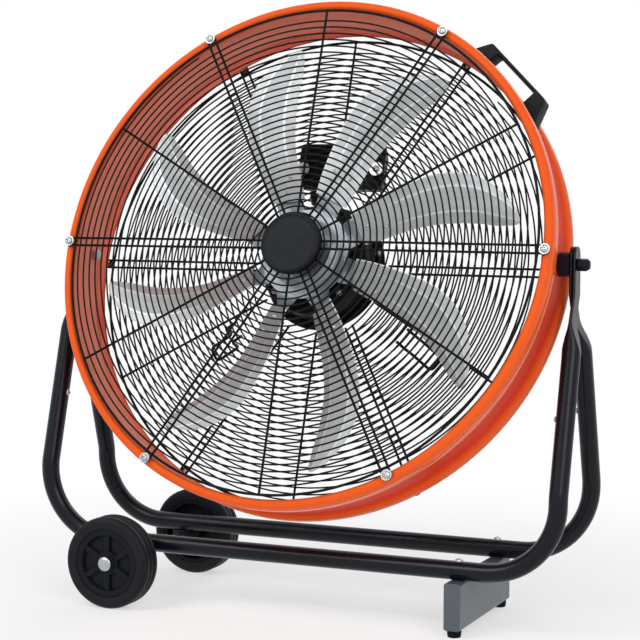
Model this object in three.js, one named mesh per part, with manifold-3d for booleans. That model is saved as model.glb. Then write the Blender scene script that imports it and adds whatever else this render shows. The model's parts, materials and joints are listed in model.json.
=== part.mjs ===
import * as THREE from 'three';
import { mergeVertices } from 'three/addons/utils/BufferGeometryUtils.js';
import Module from 'manifold-3d';

// A 24 inch drum fan: a rolled sheet drum with a spiral wire guard at each end and an eight
// blade rotor inside, hung by two pivot bolts in a bent tube stand that rolls on two wheels.
// Millimetres and degrees. X runs along the tilt axis, -Y is the front and Z is up.

// Clearances
const seat_gap = 0.3; // between two pieces that bear on each other
const bore_gap = 0.35; // round a pin in its hole

// Drum, measured from the tilt axis, which crosses the axis of the drum
const drum_wall_radius = 311;
const drum_bead_height = 7;
const drum_mouth_inset = 6;
const drum_sheet = 1.6;
const drum_front = 56.5;
const drum_rear = 37;
const drum_lip = 9;
const drum_front_bead = 26;
const drum_rear_bead = 14;
const drum_waist_front = -14.5;
const drum_waist_rear = 15;
const drum_tilt = 19;
const drum_facets = 44;

// Guards, set in from the drum's mouth
const screw_circle_inset = 1;
const guard_pairs = 6;
const pair_half_width = 4.75;
const spoke_wire_radius = 2;
const ring_wire_radius = 1.75;
const ring_pitch = 8.26;
const ring_edge_gap = 7.1;
const rim_ring_inset = 3.4;
const ring_facet_sag = 4.8;
const spiral_start_angle = 318;
const front_dome = 3;
const front_spiral_inner = 34;
const front_plate_radius = 37;
const guard_plate_thickness = 2.4;
const rear_spiral_inner = 92;
const rear_plate_radius = 88;
const cap_radius = 38.5;
const cap_thickness = 6;
const cap_boss_radius = 24;

// Screws that hold the front guard on the rim
const screw_shank_radius = 2.2;
const screw_shank_length = 9;
const screw_washer_radius = 6.6;
const screw_washer_thickness = 1.2;
const screw_head_radius = 4.9;
const screw_head_height = 3.2;

// Rotor
const blade_count = 8;
const blade_root_radius = 72;
const blade_tip_radius = 269;
const blade_width = 63;
const blade_flat_radius = 120;
const blade_rise_length = 50;
const blade_sheet = 1.6;
const blade_crease = 0.25;
const blade_crease_height = 2.5;
const blade_root_pitch = -36;
const blade_tip_pitch = -15;
const blade_lead = 4.6;
const blade_sweep = 11.4;
const blade_tip_sweep = 8.3;
const blade_first_angle = 25.4;
const rotor_plane = -25;
const arm_width = 30;
const arm_end_radius = 114;
const arm_sheet = 2.4;
const dish_radius = 56;
const dish_raise = 7;
const hub_boss_radius = 17;
const hub_boss_back = -15;
const hub_nut_radius = 9.5;
const hub_nut_length = 8;
const shaft_radius = 6;

// Motor, clamped to the ring plate of the rear guard
const motor_radius = 69;
const motor_front = -6;
const motor_seam = 17;
const motor_back = 56;
const motor_corner = 9;
const motor_flange_radius = 82;
const motor_flange_thickness = 3;
const motor_nose_radius = 22;
const motor_nose_height = 5;
const shaft_depth = 24;

// Control box behind the rear guard
const box_width = 118;
const box_height = 61;
const box_depth = 30;
const box_centre_height = 136;
const box_corner = 8;
const knob_radius = 17;
const knob_skirt = 5;
const knob_grip_height = 13;
const knob_grip_width = 8;
const knob_stem_radius = 3;
const knob_stem_length = 8;
const gland_radius = 9;
const gland_length = 16;
const gland_bore_radius = 4;
const gland_place = -34;

// Cord hooks on the rear guard
const hook_wire_radius = 2;
const hook_inner_radius = 152;
const hook_reach = 34;
const hook_stand_off = 22;
const hook_foot = 16;
const hook_half_width = 10;
const hook_angle = 36;

// Carrying handle on the drum wall
const handle_angle = 45;
const handle_reach = 24.5;
const handle_half_top = 53;
const handle_half_foot = 68;
const handle_half_gap = 36;
const handle_bar = 4.5;
const handle_corner = 3;
const handle_width = 22;
const handle_place = 2;

// Pivots
const pivot_height = 427;
const pivot_bolt_radius = 4;
const pivot_nut_radius = 7;
const pivot_nut_thickness = 6;
const pivot_spacer_radius = 14;
const pivot_spacer_length = 13.8;
const pivot_cap_radius = 7.8;
const pivot_cap_length = 14;
const pivot_cap_wall = 5;

// Tube stand
const tube_radius = 11;
const tube_sides = 10;
const tube_set_out = 7.6;
const stand_half_depth = 70;
const rail_height = 74.7;
const rail_bend_radius = 85;
const lean_start_height = 166;
const lean_bend_radius = 40;
const sleeve_height = 270;
const tongue_half_width = 12;
const tongue_thickness = 3.6;
const tongue_start_height = 366;
const tongue_top_height = 448;
const tongue_cross_height = 26;
const flatten_length = 44;

// Wheels at the -X end
const wheel_radius = 56.4;
const wheel_width = 33;
const wheel_place = -219.3;
const wheel_half_track = 112.7;
const wheel_facets = 24;
const tyre_inner_radius = 42;
const tyre_groove = 1.6;
const tyre_grooves = 2;
const hub_web = 9;
const hub_centre_radius = 11;
const hub_pockets = 6;
const hub_rib = 7;
const axle_radius = 5;
const axle_collar_radius = 6.9;
const axle_cap_radius = 7;
const axle_cap_height = 3.6;
const bracket_thickness = 4;
const bracket_half_width = 14;
const bracket_drop = 12;

// Foot bar at the +X end
const foot_bar_place = 215;
const foot_bar_thickness = 20;
const foot_bar_length = 184;
const foot_bar_corner = 3;
const foot_half_spacing = 83;
const foot_radius = 8.5;
const foot_height = 8;

const wasm = await Module();
wasm.setup();
const up = new THREE.Vector3(0, 0, 1);
const across = new THREE.Vector3(0, 1, 0);
const radians = THREE.MathUtils.degToRad;

const paint_orange = new THREE.MeshStandardMaterial({ color: 0xe85a28, roughness: 0.35, metalness: 0.1 });
const paint_black = new THREE.MeshStandardMaterial({ color: 0x23262b, roughness: 0.45, metalness: 0.2 });
const wire_black = new THREE.MeshStandardMaterial({ color: 0x141517, roughness: 0.4, metalness: 0.3 });
const plastic_black = new THREE.MeshStandardMaterial({ color: 0x1c1e20, roughness: 0.5, metalness: 0 });
const rubber_black = new THREE.MeshStandardMaterial({ color: 0x15171a, roughness: 0.75, metalness: 0 });
const sheet_grey = new THREE.MeshStandardMaterial({ color: 0xa9acae, roughness: 0.4, metalness: 0.7 });
const hub_steel = new THREE.MeshStandardMaterial({ color: 0x76828c, roughness: 0.4, metalness: 0.7 });
const zinc = new THREE.MeshStandardMaterial({ color: 0xc9ccd0, roughness: 0.3, metalness: 0.9 });

// Merges the corners of a geometry, drops flat triangles and turns its faces outward.
function solid(raw) {
  const source = raw.clone();
  source.deleteAttribute('normal');
  source.deleteAttribute('uv');
  const merged = mergeVertices(source, 1e-4);
  const place = merged.attributes.position;
  const index = [];
  const [a, b, c] = [new THREE.Vector3(), new THREE.Vector3(), new THREE.Vector3()];
  let volume = 0;
  for (let i = 0; i < merged.index.count; i += 3) {
    const corner = [0, 1, 2].map((k) => merged.index.getX(i + k));
    if (new Set(corner).size < 3) continue;
    index.push(...corner);
    a.fromBufferAttribute(place, corner[0]);
    b.fromBufferAttribute(place, corner[1]);
    c.fromBufferAttribute(place, corner[2]);
    volume += a.dot(b.cross(c));
  }
  if (volume < 0) index.reverse();
  merged.setIndex(index);
  return merged;
}

function to_manifold(geometry) {
  const closed = solid(geometry);
  return new wasm.Manifold(new wasm.Mesh({
    numProp: 3,
    vertProperties: new Float32Array(closed.attributes.position.array),
    triVerts: new Uint32Array(closed.index.array),
  }));
}

function from_manifold(body) {
  const mesh = body.getMesh();
  const geometry = new THREE.BufferGeometry();
  geometry.setAttribute('position', new THREE.BufferAttribute(new Float32Array(mesh.vertProperties), 3));
  geometry.setIndex(Array.from(mesh.triVerts));
  return geometry;
}

const join = (geometries) => from_manifold(
  geometries.map(to_manifold).reduce((sum, next) => sum.add(next)),
);

const cut = (geometry, tools) => from_manifold(
  tools.map(to_manifold).reduce((rest, tool) => rest.subtract(tool), to_manifold(geometry)),
);

// A closed profile of [radius, y] turned about the Y axis.
function turned(profile, facets) {
  const points = profile.map(([radius, y]) => new THREE.Vector2(radius, y));
  const on_axis = profile[0][0] === 0 && profile[profile.length - 1][0] === 0;
  if (!on_axis) points.push(points[0].clone());
  return new THREE.LatheGeometry(points, facets);
}

const along_x = (geometry) => geometry.rotateZ(-Math.PI / 2);
const along_z = (geometry) => geometry.rotateX(Math.PI / 2);

function ring_of_points(radius, sides, turn = 0) {
  return Array.from({ length: sides }, (_, k) => {
    const angle = turn + (2 * Math.PI * k) / sides;
    return new THREE.Vector2(radius * Math.cos(angle), radius * Math.sin(angle));
  });
}

// A route through fixed stations. Its section keeps one side toward a given direction.
class Route extends THREE.Curve {
  constructor(stations, side) {
    super();
    this.stations = stations;
    this.side = side;
  }

  getUtoTmapping(u) {
    return u;
  }

  getPoint(t) {
    const last = this.stations.length - 1;
    const first = Math.min(Math.floor(t * last + 1e-9), last - 1);
    return this.stations[first].clone().lerp(this.stations[first + 1], t * last - first);
  }

  computeFrenetFrames() {
    const frames = { tangents: [], normals: [], binormals: [] };
    this.stations.forEach((station, k) => {
      const before = this.stations[Math.max(k - 1, 0)];
      const after = this.stations[Math.min(k + 1, this.stations.length - 1)];
      const back = station.clone().sub(before).normalize();
      const tangent = after.clone().sub(station).normalize().add(back).normalize();
      const normal = this.side.clone().addScaledVector(tangent, -this.side.dot(tangent)).normalize();
      frames.tangents.push(tangent);
      frames.normals.push(normal);
      frames.binormals.push(tangent.clone().cross(normal));
    });
    return frames;
  }
}

function rod(stations, radius, sides, side = up, turn = 0) {
  const section = new THREE.Shape(ring_of_points(radius, sides, turn));
  const route = new Route(stations, side);
  return new THREE.ExtrudeGeometry(section, { steps: stations.length - 1, extrudePath: route });
}

// Stations along straight lines between corners, with an arc of its own radius at each bend.
function bent_route(corners, radii, steps) {
  const stations = [corners[0].clone()];
  for (let k = 1; k < corners.length - 1; k += 1) {
    const back = corners[k - 1].clone().sub(corners[k]).normalize();
    const ahead = corners[k + 1].clone().sub(corners[k]).normalize();
    const half = back.angleTo(ahead) / 2;
    const inward = back.clone().add(ahead).normalize();
    const centre = corners[k].clone().addScaledVector(inward, radii[k - 1] / Math.sin(half));
    const reach = radii[k - 1] / Math.tan(half);
    const start = corners[k].clone().addScaledVector(back, reach).sub(centre);
    const end = corners[k].clone().addScaledVector(ahead, reach).sub(centre);
    const axis = start.clone().cross(end).normalize();
    const turn = start.angleTo(end);
    for (let n = 0; n <= steps[k - 1]; n += 1) {
      stations.push(start.clone().applyAxisAngle(axis, (turn * n) / steps[k - 1]).add(centre));
    }
  }
  stations.push(corners[corners.length - 1].clone());
  return stations;
}

// A skin over rings of equal length, with the two ends closed by strips across the ring.
function loft(rings) {
  const count = rings[0].length;
  const index = [];
  for (let r = 0; r < rings.length - 1; r += 1) {
    for (let k = 0; k < count; k += 1) {
      const next = (k + 1) % count;
      const [a, b] = [r * count + k, r * count + next];
      index.push(a, b, b + count, a, b + count, a + count);
    }
  }
  const last = (rings.length - 1) * count;
  for (let k = 0; k < count / 2 - 1; k += 1) {
    const far = count - 1 - k;
    index.push(k, far, k + 1, k + 1, far, far - 1);
    index.push(last + k, last + k + 1, last + far, last + k + 1, last + far - 1, last + far);
  }
  const geometry = new THREE.BufferGeometry();
  const numbers = rings.flat().flatMap((point) => point.toArray());
  geometry.setAttribute('position', new THREE.Float32BufferAttribute(numbers, 3));
  geometry.setIndex(index);
  return geometry;
}

function rounded_rectangle(width, height, corner) {
  const [x, y] = [width / 2 - corner, height / 2 - corner];
  const shape = new THREE.Shape();
  shape.absarc(x, y, corner, 0, Math.PI / 2);
  shape.absarc(-x, y, corner, Math.PI / 2, Math.PI);
  shape.absarc(-x, -y, corner, Math.PI, 1.5 * Math.PI);
  shape.absarc(x, -y, corner, 1.5 * Math.PI, 2 * Math.PI);
  return shape;
}

function pin(radius, from, to, facets = 12) {
  return new THREE.CylinderGeometry(radius, radius, to - from, facets).translate(0, (from + to) / 2, 0);
}

function add(parent, name, geometry, material) {
  const mesh = new THREE.Mesh(solid(geometry), material);
  mesh.name = name;
  parent.add(mesh);
  return mesh;
}

// The drum: one rolled sheet with a wide bead in front, a waist and a narrower bead behind.
const drum_bead_radius = drum_wall_radius + drum_bead_height;
const drum_mouth_radius = drum_wall_radius - drum_mouth_inset;
const guard_screw_circle = drum_wall_radius - screw_circle_inset;
const drum_outline = new THREE.SplineCurve([
  [drum_mouth_radius, drum_lip - drum_front],
  [drum_mouth_radius + 0.08 * drum_lip, 0.28 * drum_lip - drum_front],
  [guard_screw_circle, -drum_front],
  [drum_bead_radius - 0.22 * drum_lip, 0.33 * drum_lip - drum_front],
  [drum_bead_radius, 1.1 * drum_lip - drum_front],
  [drum_wall_radius + 0.75 * drum_bead_height, drum_front_bead - drum_front],
  [drum_wall_radius, drum_waist_front],
  [drum_wall_radius, drum_waist_rear],
  [drum_wall_radius + 0.7 * drum_bead_height, drum_waist_rear + 0.5 * drum_rear_bead],
  [drum_bead_radius, drum_waist_rear + drum_rear_bead],
  [drum_wall_radius + 0.43 * drum_bead_height, drum_rear],
  [drum_mouth_radius + 0.25 * drum_mouth_inset, drum_rear - 0.28 * drum_lip],
].map(([radius, y]) => new THREE.Vector2(radius, y)));

function drum_profile() {
  const outside = drum_outline.points;
  const inside = outside.map((point, k) => {
    const tangent = drum_outline.getTangent(k / (outside.length - 1));
    return point.clone().add(new THREE.Vector2(-tangent.y, tangent.x).multiplyScalar(drum_sheet));
  });
  return [...outside, ...inside.reverse()].map((point) => [point.x, point.y]);
}

function make_drum() {
  const shell = turned(drum_profile(), drum_facets);
  const bolt = along_x(pin(pivot_bolt_radius + bore_gap, 0.95 * drum_wall_radius, 1.05 * drum_wall_radius));
  const holes = [bolt, bolt.clone().rotateY(Math.PI)];
  for (let k = 0; k < guard_pairs; k += 1) {
    const hole = pin(screw_shank_radius + bore_gap, -drum_front - drum_lip, 1.3 * drum_lip - drum_front, 8);
    holes.push(hole.translate(guard_screw_circle, 0, 0).rotateY((2 * Math.PI * k) / guard_pairs));
  }
  return cut(shell, holes);
}

// A guard seen from its outside, with its spokes in the plane y = 0 and the spiral at -Y.
const rim_ring_radius = drum_mouth_radius - rim_ring_inset;
const ring_outer_radius = rim_ring_radius - ring_edge_gap;
const dome_at = (radius, dome) => -dome * (1 - radius / rim_ring_radius);
const spiral_lift = spoke_wire_radius + ring_wire_radius / 2 + seat_gap;

function guard_spokes(plate, plate_radius, dome) {
  const parts = [plate.translate(0, dome_at(plate_radius, dome), 0)];
  const root = plate_radius - 6;
  const station = (radius, offset) => new THREE.Vector3(radius, dome_at(radius, dome), offset);
  for (let k = 0; k < guard_pairs; k += 1) {
    const turn = (2 * Math.PI * k) / guard_pairs;
    const hairpin = [station(root, -pair_half_width), station(rim_ring_radius, -pair_half_width)];
    for (let n = 0; n <= 4; n += 1) {
      const angle = (Math.PI * (n - 2)) / 4;
      const radius = guard_screw_circle + pair_half_width * Math.cos(angle);
      hairpin.push(new THREE.Vector3(radius, 0, pair_half_width * Math.sin(angle)));
    }
    hairpin.push(station(rim_ring_radius, pair_half_width), station(root, pair_half_width));
    parts.push(rod(hairpin, spoke_wire_radius, 4, across).rotateY(turn));
    const single = [station(root, 0), station(rim_ring_radius, 0)];
    parts.push(rod(single, spoke_wire_radius, 4, across).rotateY(turn + Math.PI / guard_pairs));
  }
  const rim = ring_of_points(spoke_wire_radius, 4, Math.PI / 4);
  const ring = rim.map((p) => [rim_ring_radius + p.x, p.y - 0.6 * spoke_wire_radius]);
  parts.push(turned(ring, drum_facets));
  return join(parts);
}

// One wire from the inner to the outer radius, three sided with a flat side toward the spokes.
// The steps lengthen with the radius, so that every chord stands off the true spiral alike.
function guard_spiral(inner, dome) {
  const [start, end] = [inner ** 1.5, ring_outer_radius ** 1.5];
  const steps = Math.round((2 * Math.PI * (end - start)) / (3 * ring_pitch * Math.sqrt(2 * ring_facet_sag)));
  const stations = [];
  for (let n = 0; n <= steps; n += 1) {
    const radius = (start + ((end - start) * n) / steps) ** (2 / 3);
    const angle = radians(spiral_start_angle) - (2 * Math.PI * (radius - inner)) / ring_pitch;
    const lift = dome_at(radius, dome) - spiral_lift;
    stations.push(new THREE.Vector3(radius * Math.cos(angle), lift, radius * Math.sin(angle)));
  }
  return rod(stations, ring_wire_radius, 3, across, Math.PI);
}

const front_spoke_plane = -drum_front - seat_gap - spoke_wire_radius;
const rear_spoke_plane = drum_rear + seat_gap + spoke_wire_radius;
const rear_guard_back = rear_spoke_plane + spiral_lift + ring_wire_radius;

function guard_plate(outer, inner) {
  const half = guard_plate_thickness / 2;
  const profile = inner > 0
    ? [[inner, -half], [outer, -half], [outer, half], [inner, half]]
    : [[0, -half], [outer, -half], [outer, half], [0, half]];
  return turned(profile, 24);
}

function make_cap() {
  const plate_face = dome_at(front_plate_radius, front_dome) - guard_plate_thickness / 2;
  const back = dome_at(0, front_dome) - spiral_lift - ring_wire_radius - seat_gap;
  const front = back - cap_thickness;
  const edge = 3;
  return turned([
    [0, plate_face - seat_gap],
    [cap_boss_radius, plate_face - seat_gap],
    [cap_boss_radius, back],
    [cap_radius, back],
    [cap_radius, front + edge],
    [cap_radius - 0.3 * edge, front + 0.3 * edge],
    [cap_radius - edge, front],
    [0, front - 0.6],
  ], 32);
}

function make_guard_screw() {
  const face = -spoke_wire_radius - seat_gap;
  const washer = face - screw_washer_thickness;
  const top = washer - screw_head_height;
  return turned([
    [0, face + screw_shank_length + spoke_wire_radius],
    [screw_shank_radius, face + screw_shank_length + spoke_wire_radius],
    [screw_shank_radius, face],
    [screw_washer_radius, face],
    [screw_washer_radius, washer],
    [screw_head_radius, washer],
    [0.7 * screw_head_radius, top + 0.2 * screw_head_height],
    [0, top],
  ], 8);
}

// The rotor, in drum axes. A blade lies along its own radius, its leading edge at -s and behind,
// and sweeps forward to its tip. Its outline is a list of shares of its length and of its width.
const blade_outline = [
  [0, 0.627], [0.1, 0.718], [0.22, 0.777], [0.35, 0.836], [0.48, 0.93], [0.62, 1],
  [0.74, 0.975], [0.84, 0.867], [0.92, 0.617], [0.97, 0.378], [1, 0.214],
];
const share_at = (radius) => (radius - blade_root_radius) / (blade_tip_radius - blade_root_radius);
const pitch_at = (radius) => {
  const share = THREE.MathUtils.clamp(share_at(radius), 0, 1);
  return radians(THREE.MathUtils.lerp(blade_root_pitch, blade_tip_pitch, share));
};
const sweep_at = (radius) => {
  const share = Math.max(share_at(radius), 0);
  return radians(blade_lead * share - blade_sweep * share ** 2 - blade_tip_sweep * share ** 3);
};

// A point of the rotor at a radius, s along the chord and h in front of the blade's plane.
function on_blade(radius, s, h, pitch = pitch_at(radius)) {
  const turn = sweep_at(radius);
  const side = s * Math.cos(pitch) + h * Math.sin(pitch);
  const y = rotor_plane + s * Math.sin(pitch) - h * Math.cos(pitch);
  return new THREE.Vector3(
    radius * Math.cos(turn) - side * Math.sin(turn),
    y,
    radius * Math.sin(turn) + side * Math.cos(turn),
  );
}

function make_blade() {
  return loft(blade_outline.map(([along, across_share]) => {
    const radius = THREE.MathUtils.lerp(blade_root_radius, blade_tip_radius, along);
    const chord = across_share * blade_width;
    const rise = THREE.MathUtils.smoothstep(radius, blade_flat_radius, blade_flat_radius + blade_rise_length);
    const ridge = blade_crease_height * rise * across_share;
    const crease = blade_crease * chord;
    const line = [[-chord / 2, 0], [-crease, ridge], [crease, ridge], [chord / 2, 0]];
    const front = line.map(([s, h]) => on_blade(radius, s, h + blade_sheet / 2));
    const back = line.map(([s, h]) => on_blade(radius, s, h - blade_sheet / 2)).reverse();
    return [...front, ...back];
  }));
}

function make_arm() {
  const behind = -(blade_sheet / 2 + seat_gap + arm_sheet / 2);
  const root = blade_root_radius - 2;
  const middle = (root + arm_end_radius) / 2;
  const stations = [[dish_radius - 12, 0], [dish_radius, 0.25], [root, 1], [middle, 1], [arm_end_radius, 1]];
  return loft(stations.map(([radius, twist]) => {
    const pitch = twist * pitch_at(radius);
    const half = arm_width / 2;
    const corners = [[-half, 1], [half, 1], [half, -1], [-half, -1]];
    return corners.map(([s, h]) => on_blade(radius, s, behind + (h * arm_sheet) / 2, pitch));
  }));
}

function make_spider() {
  const back = rotor_plane + blade_sheet / 2 + seat_gap + arm_sheet;
  const front = back - arm_sheet;
  const bore = shaft_radius + bore_gap;
  const dish = turned([
    [bore, hub_boss_back],
    [hub_boss_radius, hub_boss_back],
    [hub_boss_radius, back - dish_raise],
    [0.62 * dish_radius, back - dish_raise],
    [0.8 * dish_radius, back],
    [dish_radius, back],
    [dish_radius, front],
    [0.78 * dish_radius, front],
    [0.6 * dish_radius, front - dish_raise],
    [bore, front - dish_raise],
  ], 24);
  const arms = Array.from({ length: blade_count }, (_, k) => (
    make_arm().rotateY(-radians(blade_first_angle) - (2 * Math.PI * k) / blade_count)
  ));
  return join([dish, ...arms]);
}

const dish_front = rotor_plane + blade_sheet / 2 + seat_gap - dish_raise;

function make_shaft() {
  const front = dish_front - seat_gap - hub_nut_length + 2;
  return pin(shaft_radius, front, motor_seam + shaft_depth - seat_gap, 16);
}

function make_hub_nut() {
  const back = dish_front - seat_gap;
  const front = back - hub_nut_length;
  const body = turned([
    [0, back], [hub_nut_radius, back], [hub_nut_radius, front + 1], [hub_nut_radius - 1, front], [0, front],
  ], 6);
  return cut(body, [pin(shaft_radius + bore_gap, front + 2 - seat_gap, back + 1)]);
}

// The motor: two bells that meet at a seam, the rear one with a flange against the guard's plate.
function make_motor_front() {
  const bore = shaft_radius + bore_gap;
  const nose = motor_front - motor_nose_height;
  return turned([
    [bore, nose],
    [motor_nose_radius - 2, nose],
    [motor_nose_radius, nose + 2],
    [motor_nose_radius, motor_front],
    [motor_radius - motor_corner, motor_front],
    [motor_radius - 0.3 * motor_corner, motor_front + 0.3 * motor_corner],
    [motor_radius, motor_front + motor_corner],
    [motor_radius, motor_seam - seat_gap],
    [bore, motor_seam - seat_gap],
  ], 24);
}

function make_motor_rear() {
  const bore = shaft_radius + bore_gap;
  const flange_back = rear_spoke_plane - guard_plate_thickness / 2 - seat_gap;
  const flange_front = flange_back - motor_flange_thickness;
  return turned([
    [0, motor_seam + shaft_depth],
    [bore, motor_seam + shaft_depth],
    [bore, motor_seam],
    [motor_radius, motor_seam],
    [motor_radius, flange_front],
    [motor_flange_radius, flange_front],
    [motor_flange_radius, flange_back],
    [motor_radius, flange_back],
    [motor_radius, motor_back - motor_corner],
    [motor_radius - 0.3 * motor_corner, motor_back - 0.3 * motor_corner],
    [motor_radius - motor_corner, motor_back],
    [0, motor_back],
  ], 24);
}

// The control box with its rotary switch knob and cord gland.
const box_front = rear_guard_back + seat_gap;
const box_back = box_front + box_depth;

function make_control_box() {
  const outline = rounded_rectangle(box_width, box_height, box_corner);
  const options = { depth: box_depth, bevelEnabled: false, curveSegments: 3 };
  const body = new THREE.ExtrudeGeometry(outline, options);
  const box = body.rotateX(Math.PI / 2).translate(0, box_back, box_centre_height);
  const hole = pin(knob_stem_radius + bore_gap, box_back - knob_stem_length - 1, box_back + 1);
  return cut(box, [hole.translate(0, 0, box_centre_height)]);
}

function make_knob() {
  const seat = seat_gap;
  const skirt = turned([
    [0, -knob_stem_length],
    [knob_stem_radius, -knob_stem_length],
    [knob_stem_radius, seat],
    [knob_radius, seat],
    [knob_radius, knob_skirt - 1.5],
    [knob_radius - 1.5, knob_skirt],
    [0, knob_skirt],
  ], 20);
  const length = 2 * knob_radius - 5;
  const bar = new THREE.BoxGeometry(knob_grip_width, knob_grip_height, length);
  return join([skirt, bar.translate(0, knob_skirt + knob_grip_height / 2 - 1, 0)]);
}

function make_gland() {
  const nut = 0.45 * gland_length;
  return along_z(turned([
    [gland_bore_radius, 0],
    [gland_radius, 0],
    [gland_radius, nut],
    [gland_radius - 2, nut],
    [gland_radius - 3.5, gland_length],
    [gland_bore_radius, gland_length],
  ], 12)).rotateX(Math.PI);
}

// A cord hook: one wire whose two ends lie flat across the turns of the guard.
function make_hook(side) {
  const base = rear_guard_back + seat_gap + hook_wire_radius;
  const corner = (radius, y, offset) => new THREE.Vector3(radius, y, offset);
  const far = hook_inner_radius + hook_reach;
  const out = base + hook_stand_off;
  const route = bent_route([
    corner(hook_inner_radius - hook_foot, base, -hook_half_width),
    corner(hook_inner_radius, base, -hook_half_width),
    corner(hook_inner_radius, out, -hook_half_width),
    corner(far, out, -hook_half_width),
    corner(far, out, hook_half_width),
    corner(hook_inner_radius, out, hook_half_width),
    corner(hook_inner_radius, base, hook_half_width),
    corner(hook_inner_radius - hook_foot, base, hook_half_width),
  ], [6, 6, 6, 6, 6, 6], [2, 2, 2, 2, 2, 2]);
  const turn = side > 0 ? hook_angle : 180 - hook_angle;
  return rod(route, hook_wire_radius, 6, new THREE.Vector3(1, 1, 1)).rotateY(radians(turn));
}

// The handle: a straight grip at a hand's distance from the wall, on two wedge shaped legs.
function make_handle() {
  const wall = drum_wall_radius + seat_gap;
  const top = wall + handle_reach;
  const foot = [0, 0.33, 0.67, 1].map((share) => {
    const reach = THREE.MathUtils.lerp(handle_half_foot, handle_half_gap, share);
    return new THREE.Vector2(reach, Math.sqrt(wall ** 2 - reach ** 2));
  });
  const half = [
    new THREE.Vector2(handle_half_top - handle_corner, top),
    new THREE.Vector2(handle_half_top - 0.25 * handle_corner, top - 0.3 * handle_corner),
    new THREE.Vector2(handle_half_top + 0.2 * handle_corner, top - handle_corner),
    ...foot,
    new THREE.Vector2(handle_half_gap, top - handle_bar),
  ];
  const mirrored = half.map((point) => new THREE.Vector2(-point.x, point.y)).reverse();
  const shape = new THREE.Shape([...half, ...mirrored]);
  const grip = new THREE.ExtrudeGeometry(shape, { depth: handle_width, bevelEnabled: false });
  grip.rotateX(Math.PI / 2).translate(0, handle_place + handle_width / 2, 0);
  return grip.rotateY(radians(90 - handle_angle));
}

// Pivots: a bolt through the drum wall, a spacer, the two tongues of the stand and a capped nut.
const tongue_inner_face = drum_wall_radius + pivot_spacer_length + 2 * seat_gap;
const tongue_outer_face = tongue_inner_face + 2 * tongue_thickness + seat_gap;

function make_pivot_bolt() {
  const inside = drum_wall_radius - drum_sheet - seat_gap - 1.2;
  const cap_floor = tongue_outer_face + pivot_cap_length - pivot_cap_wall - seat_gap;
  return along_x(turned([
    [0, inside - pivot_nut_thickness],
    [pivot_nut_radius, inside - pivot_nut_thickness],
    [pivot_nut_radius, inside],
    [pivot_bolt_radius, inside],
    [pivot_bolt_radius, cap_floor],
    [0, cap_floor],
  ], 12));
}

function make_pivot_spacer() {
  const bore = pivot_bolt_radius + bore_gap;
  const inner = drum_wall_radius + seat_gap;
  const outer = tongue_inner_face - seat_gap;
  return along_x(turned([
    [bore, inner], [pivot_spacer_radius, inner], [pivot_spacer_radius, outer], [bore, outer],
  ], 16));
}

function make_pivot_cap() {
  const bore = pivot_bolt_radius + bore_gap;
  const face = tongue_outer_face + seat_gap;
  const end = face + pivot_cap_length;
  return along_x(turned([
    [bore, face],
    [pivot_cap_radius, face],
    [pivot_cap_radius, end - 2.5],
    [pivot_cap_radius - 2, end],
    [0, end],
    [0, end - pivot_cap_wall],
    [bore, end - pivot_cap_wall],
  ], 12));
}

// The stand. Each rail is one tube: level, bent up at both ends, then leaning in to the sleeve.
const stand_half_width = tongue_inner_face + tube_set_out;
const lean = (stand_half_depth - tongue_half_width - seat_gap) / (tongue_start_height - lean_start_height);
const lean_depth_at = (height) => stand_half_depth - lean * (height - lean_start_height);

function make_rail(side) {
  const corner = (x, height, depth = stand_half_depth) => new THREE.Vector3(x, side * depth, height);
  const top = sleeve_height - seat_gap / 2;
  const half = stand_half_width;
  const route = bent_route([
    corner(-half, top, lean_depth_at(top)),
    corner(-half, lean_start_height),
    corner(-half, rail_height),
    corner(half, rail_height),
    corner(half, lean_start_height),
    corner(half, top, lean_depth_at(top)),
  ], [lean_bend_radius, rail_bend_radius, rail_bend_radius, lean_bend_radius], [1, 7, 7, 1]);
  return rod(route, tube_radius, tube_sides, new THREE.Vector3(0, side, 0), Math.PI / tube_sides);
}

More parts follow.
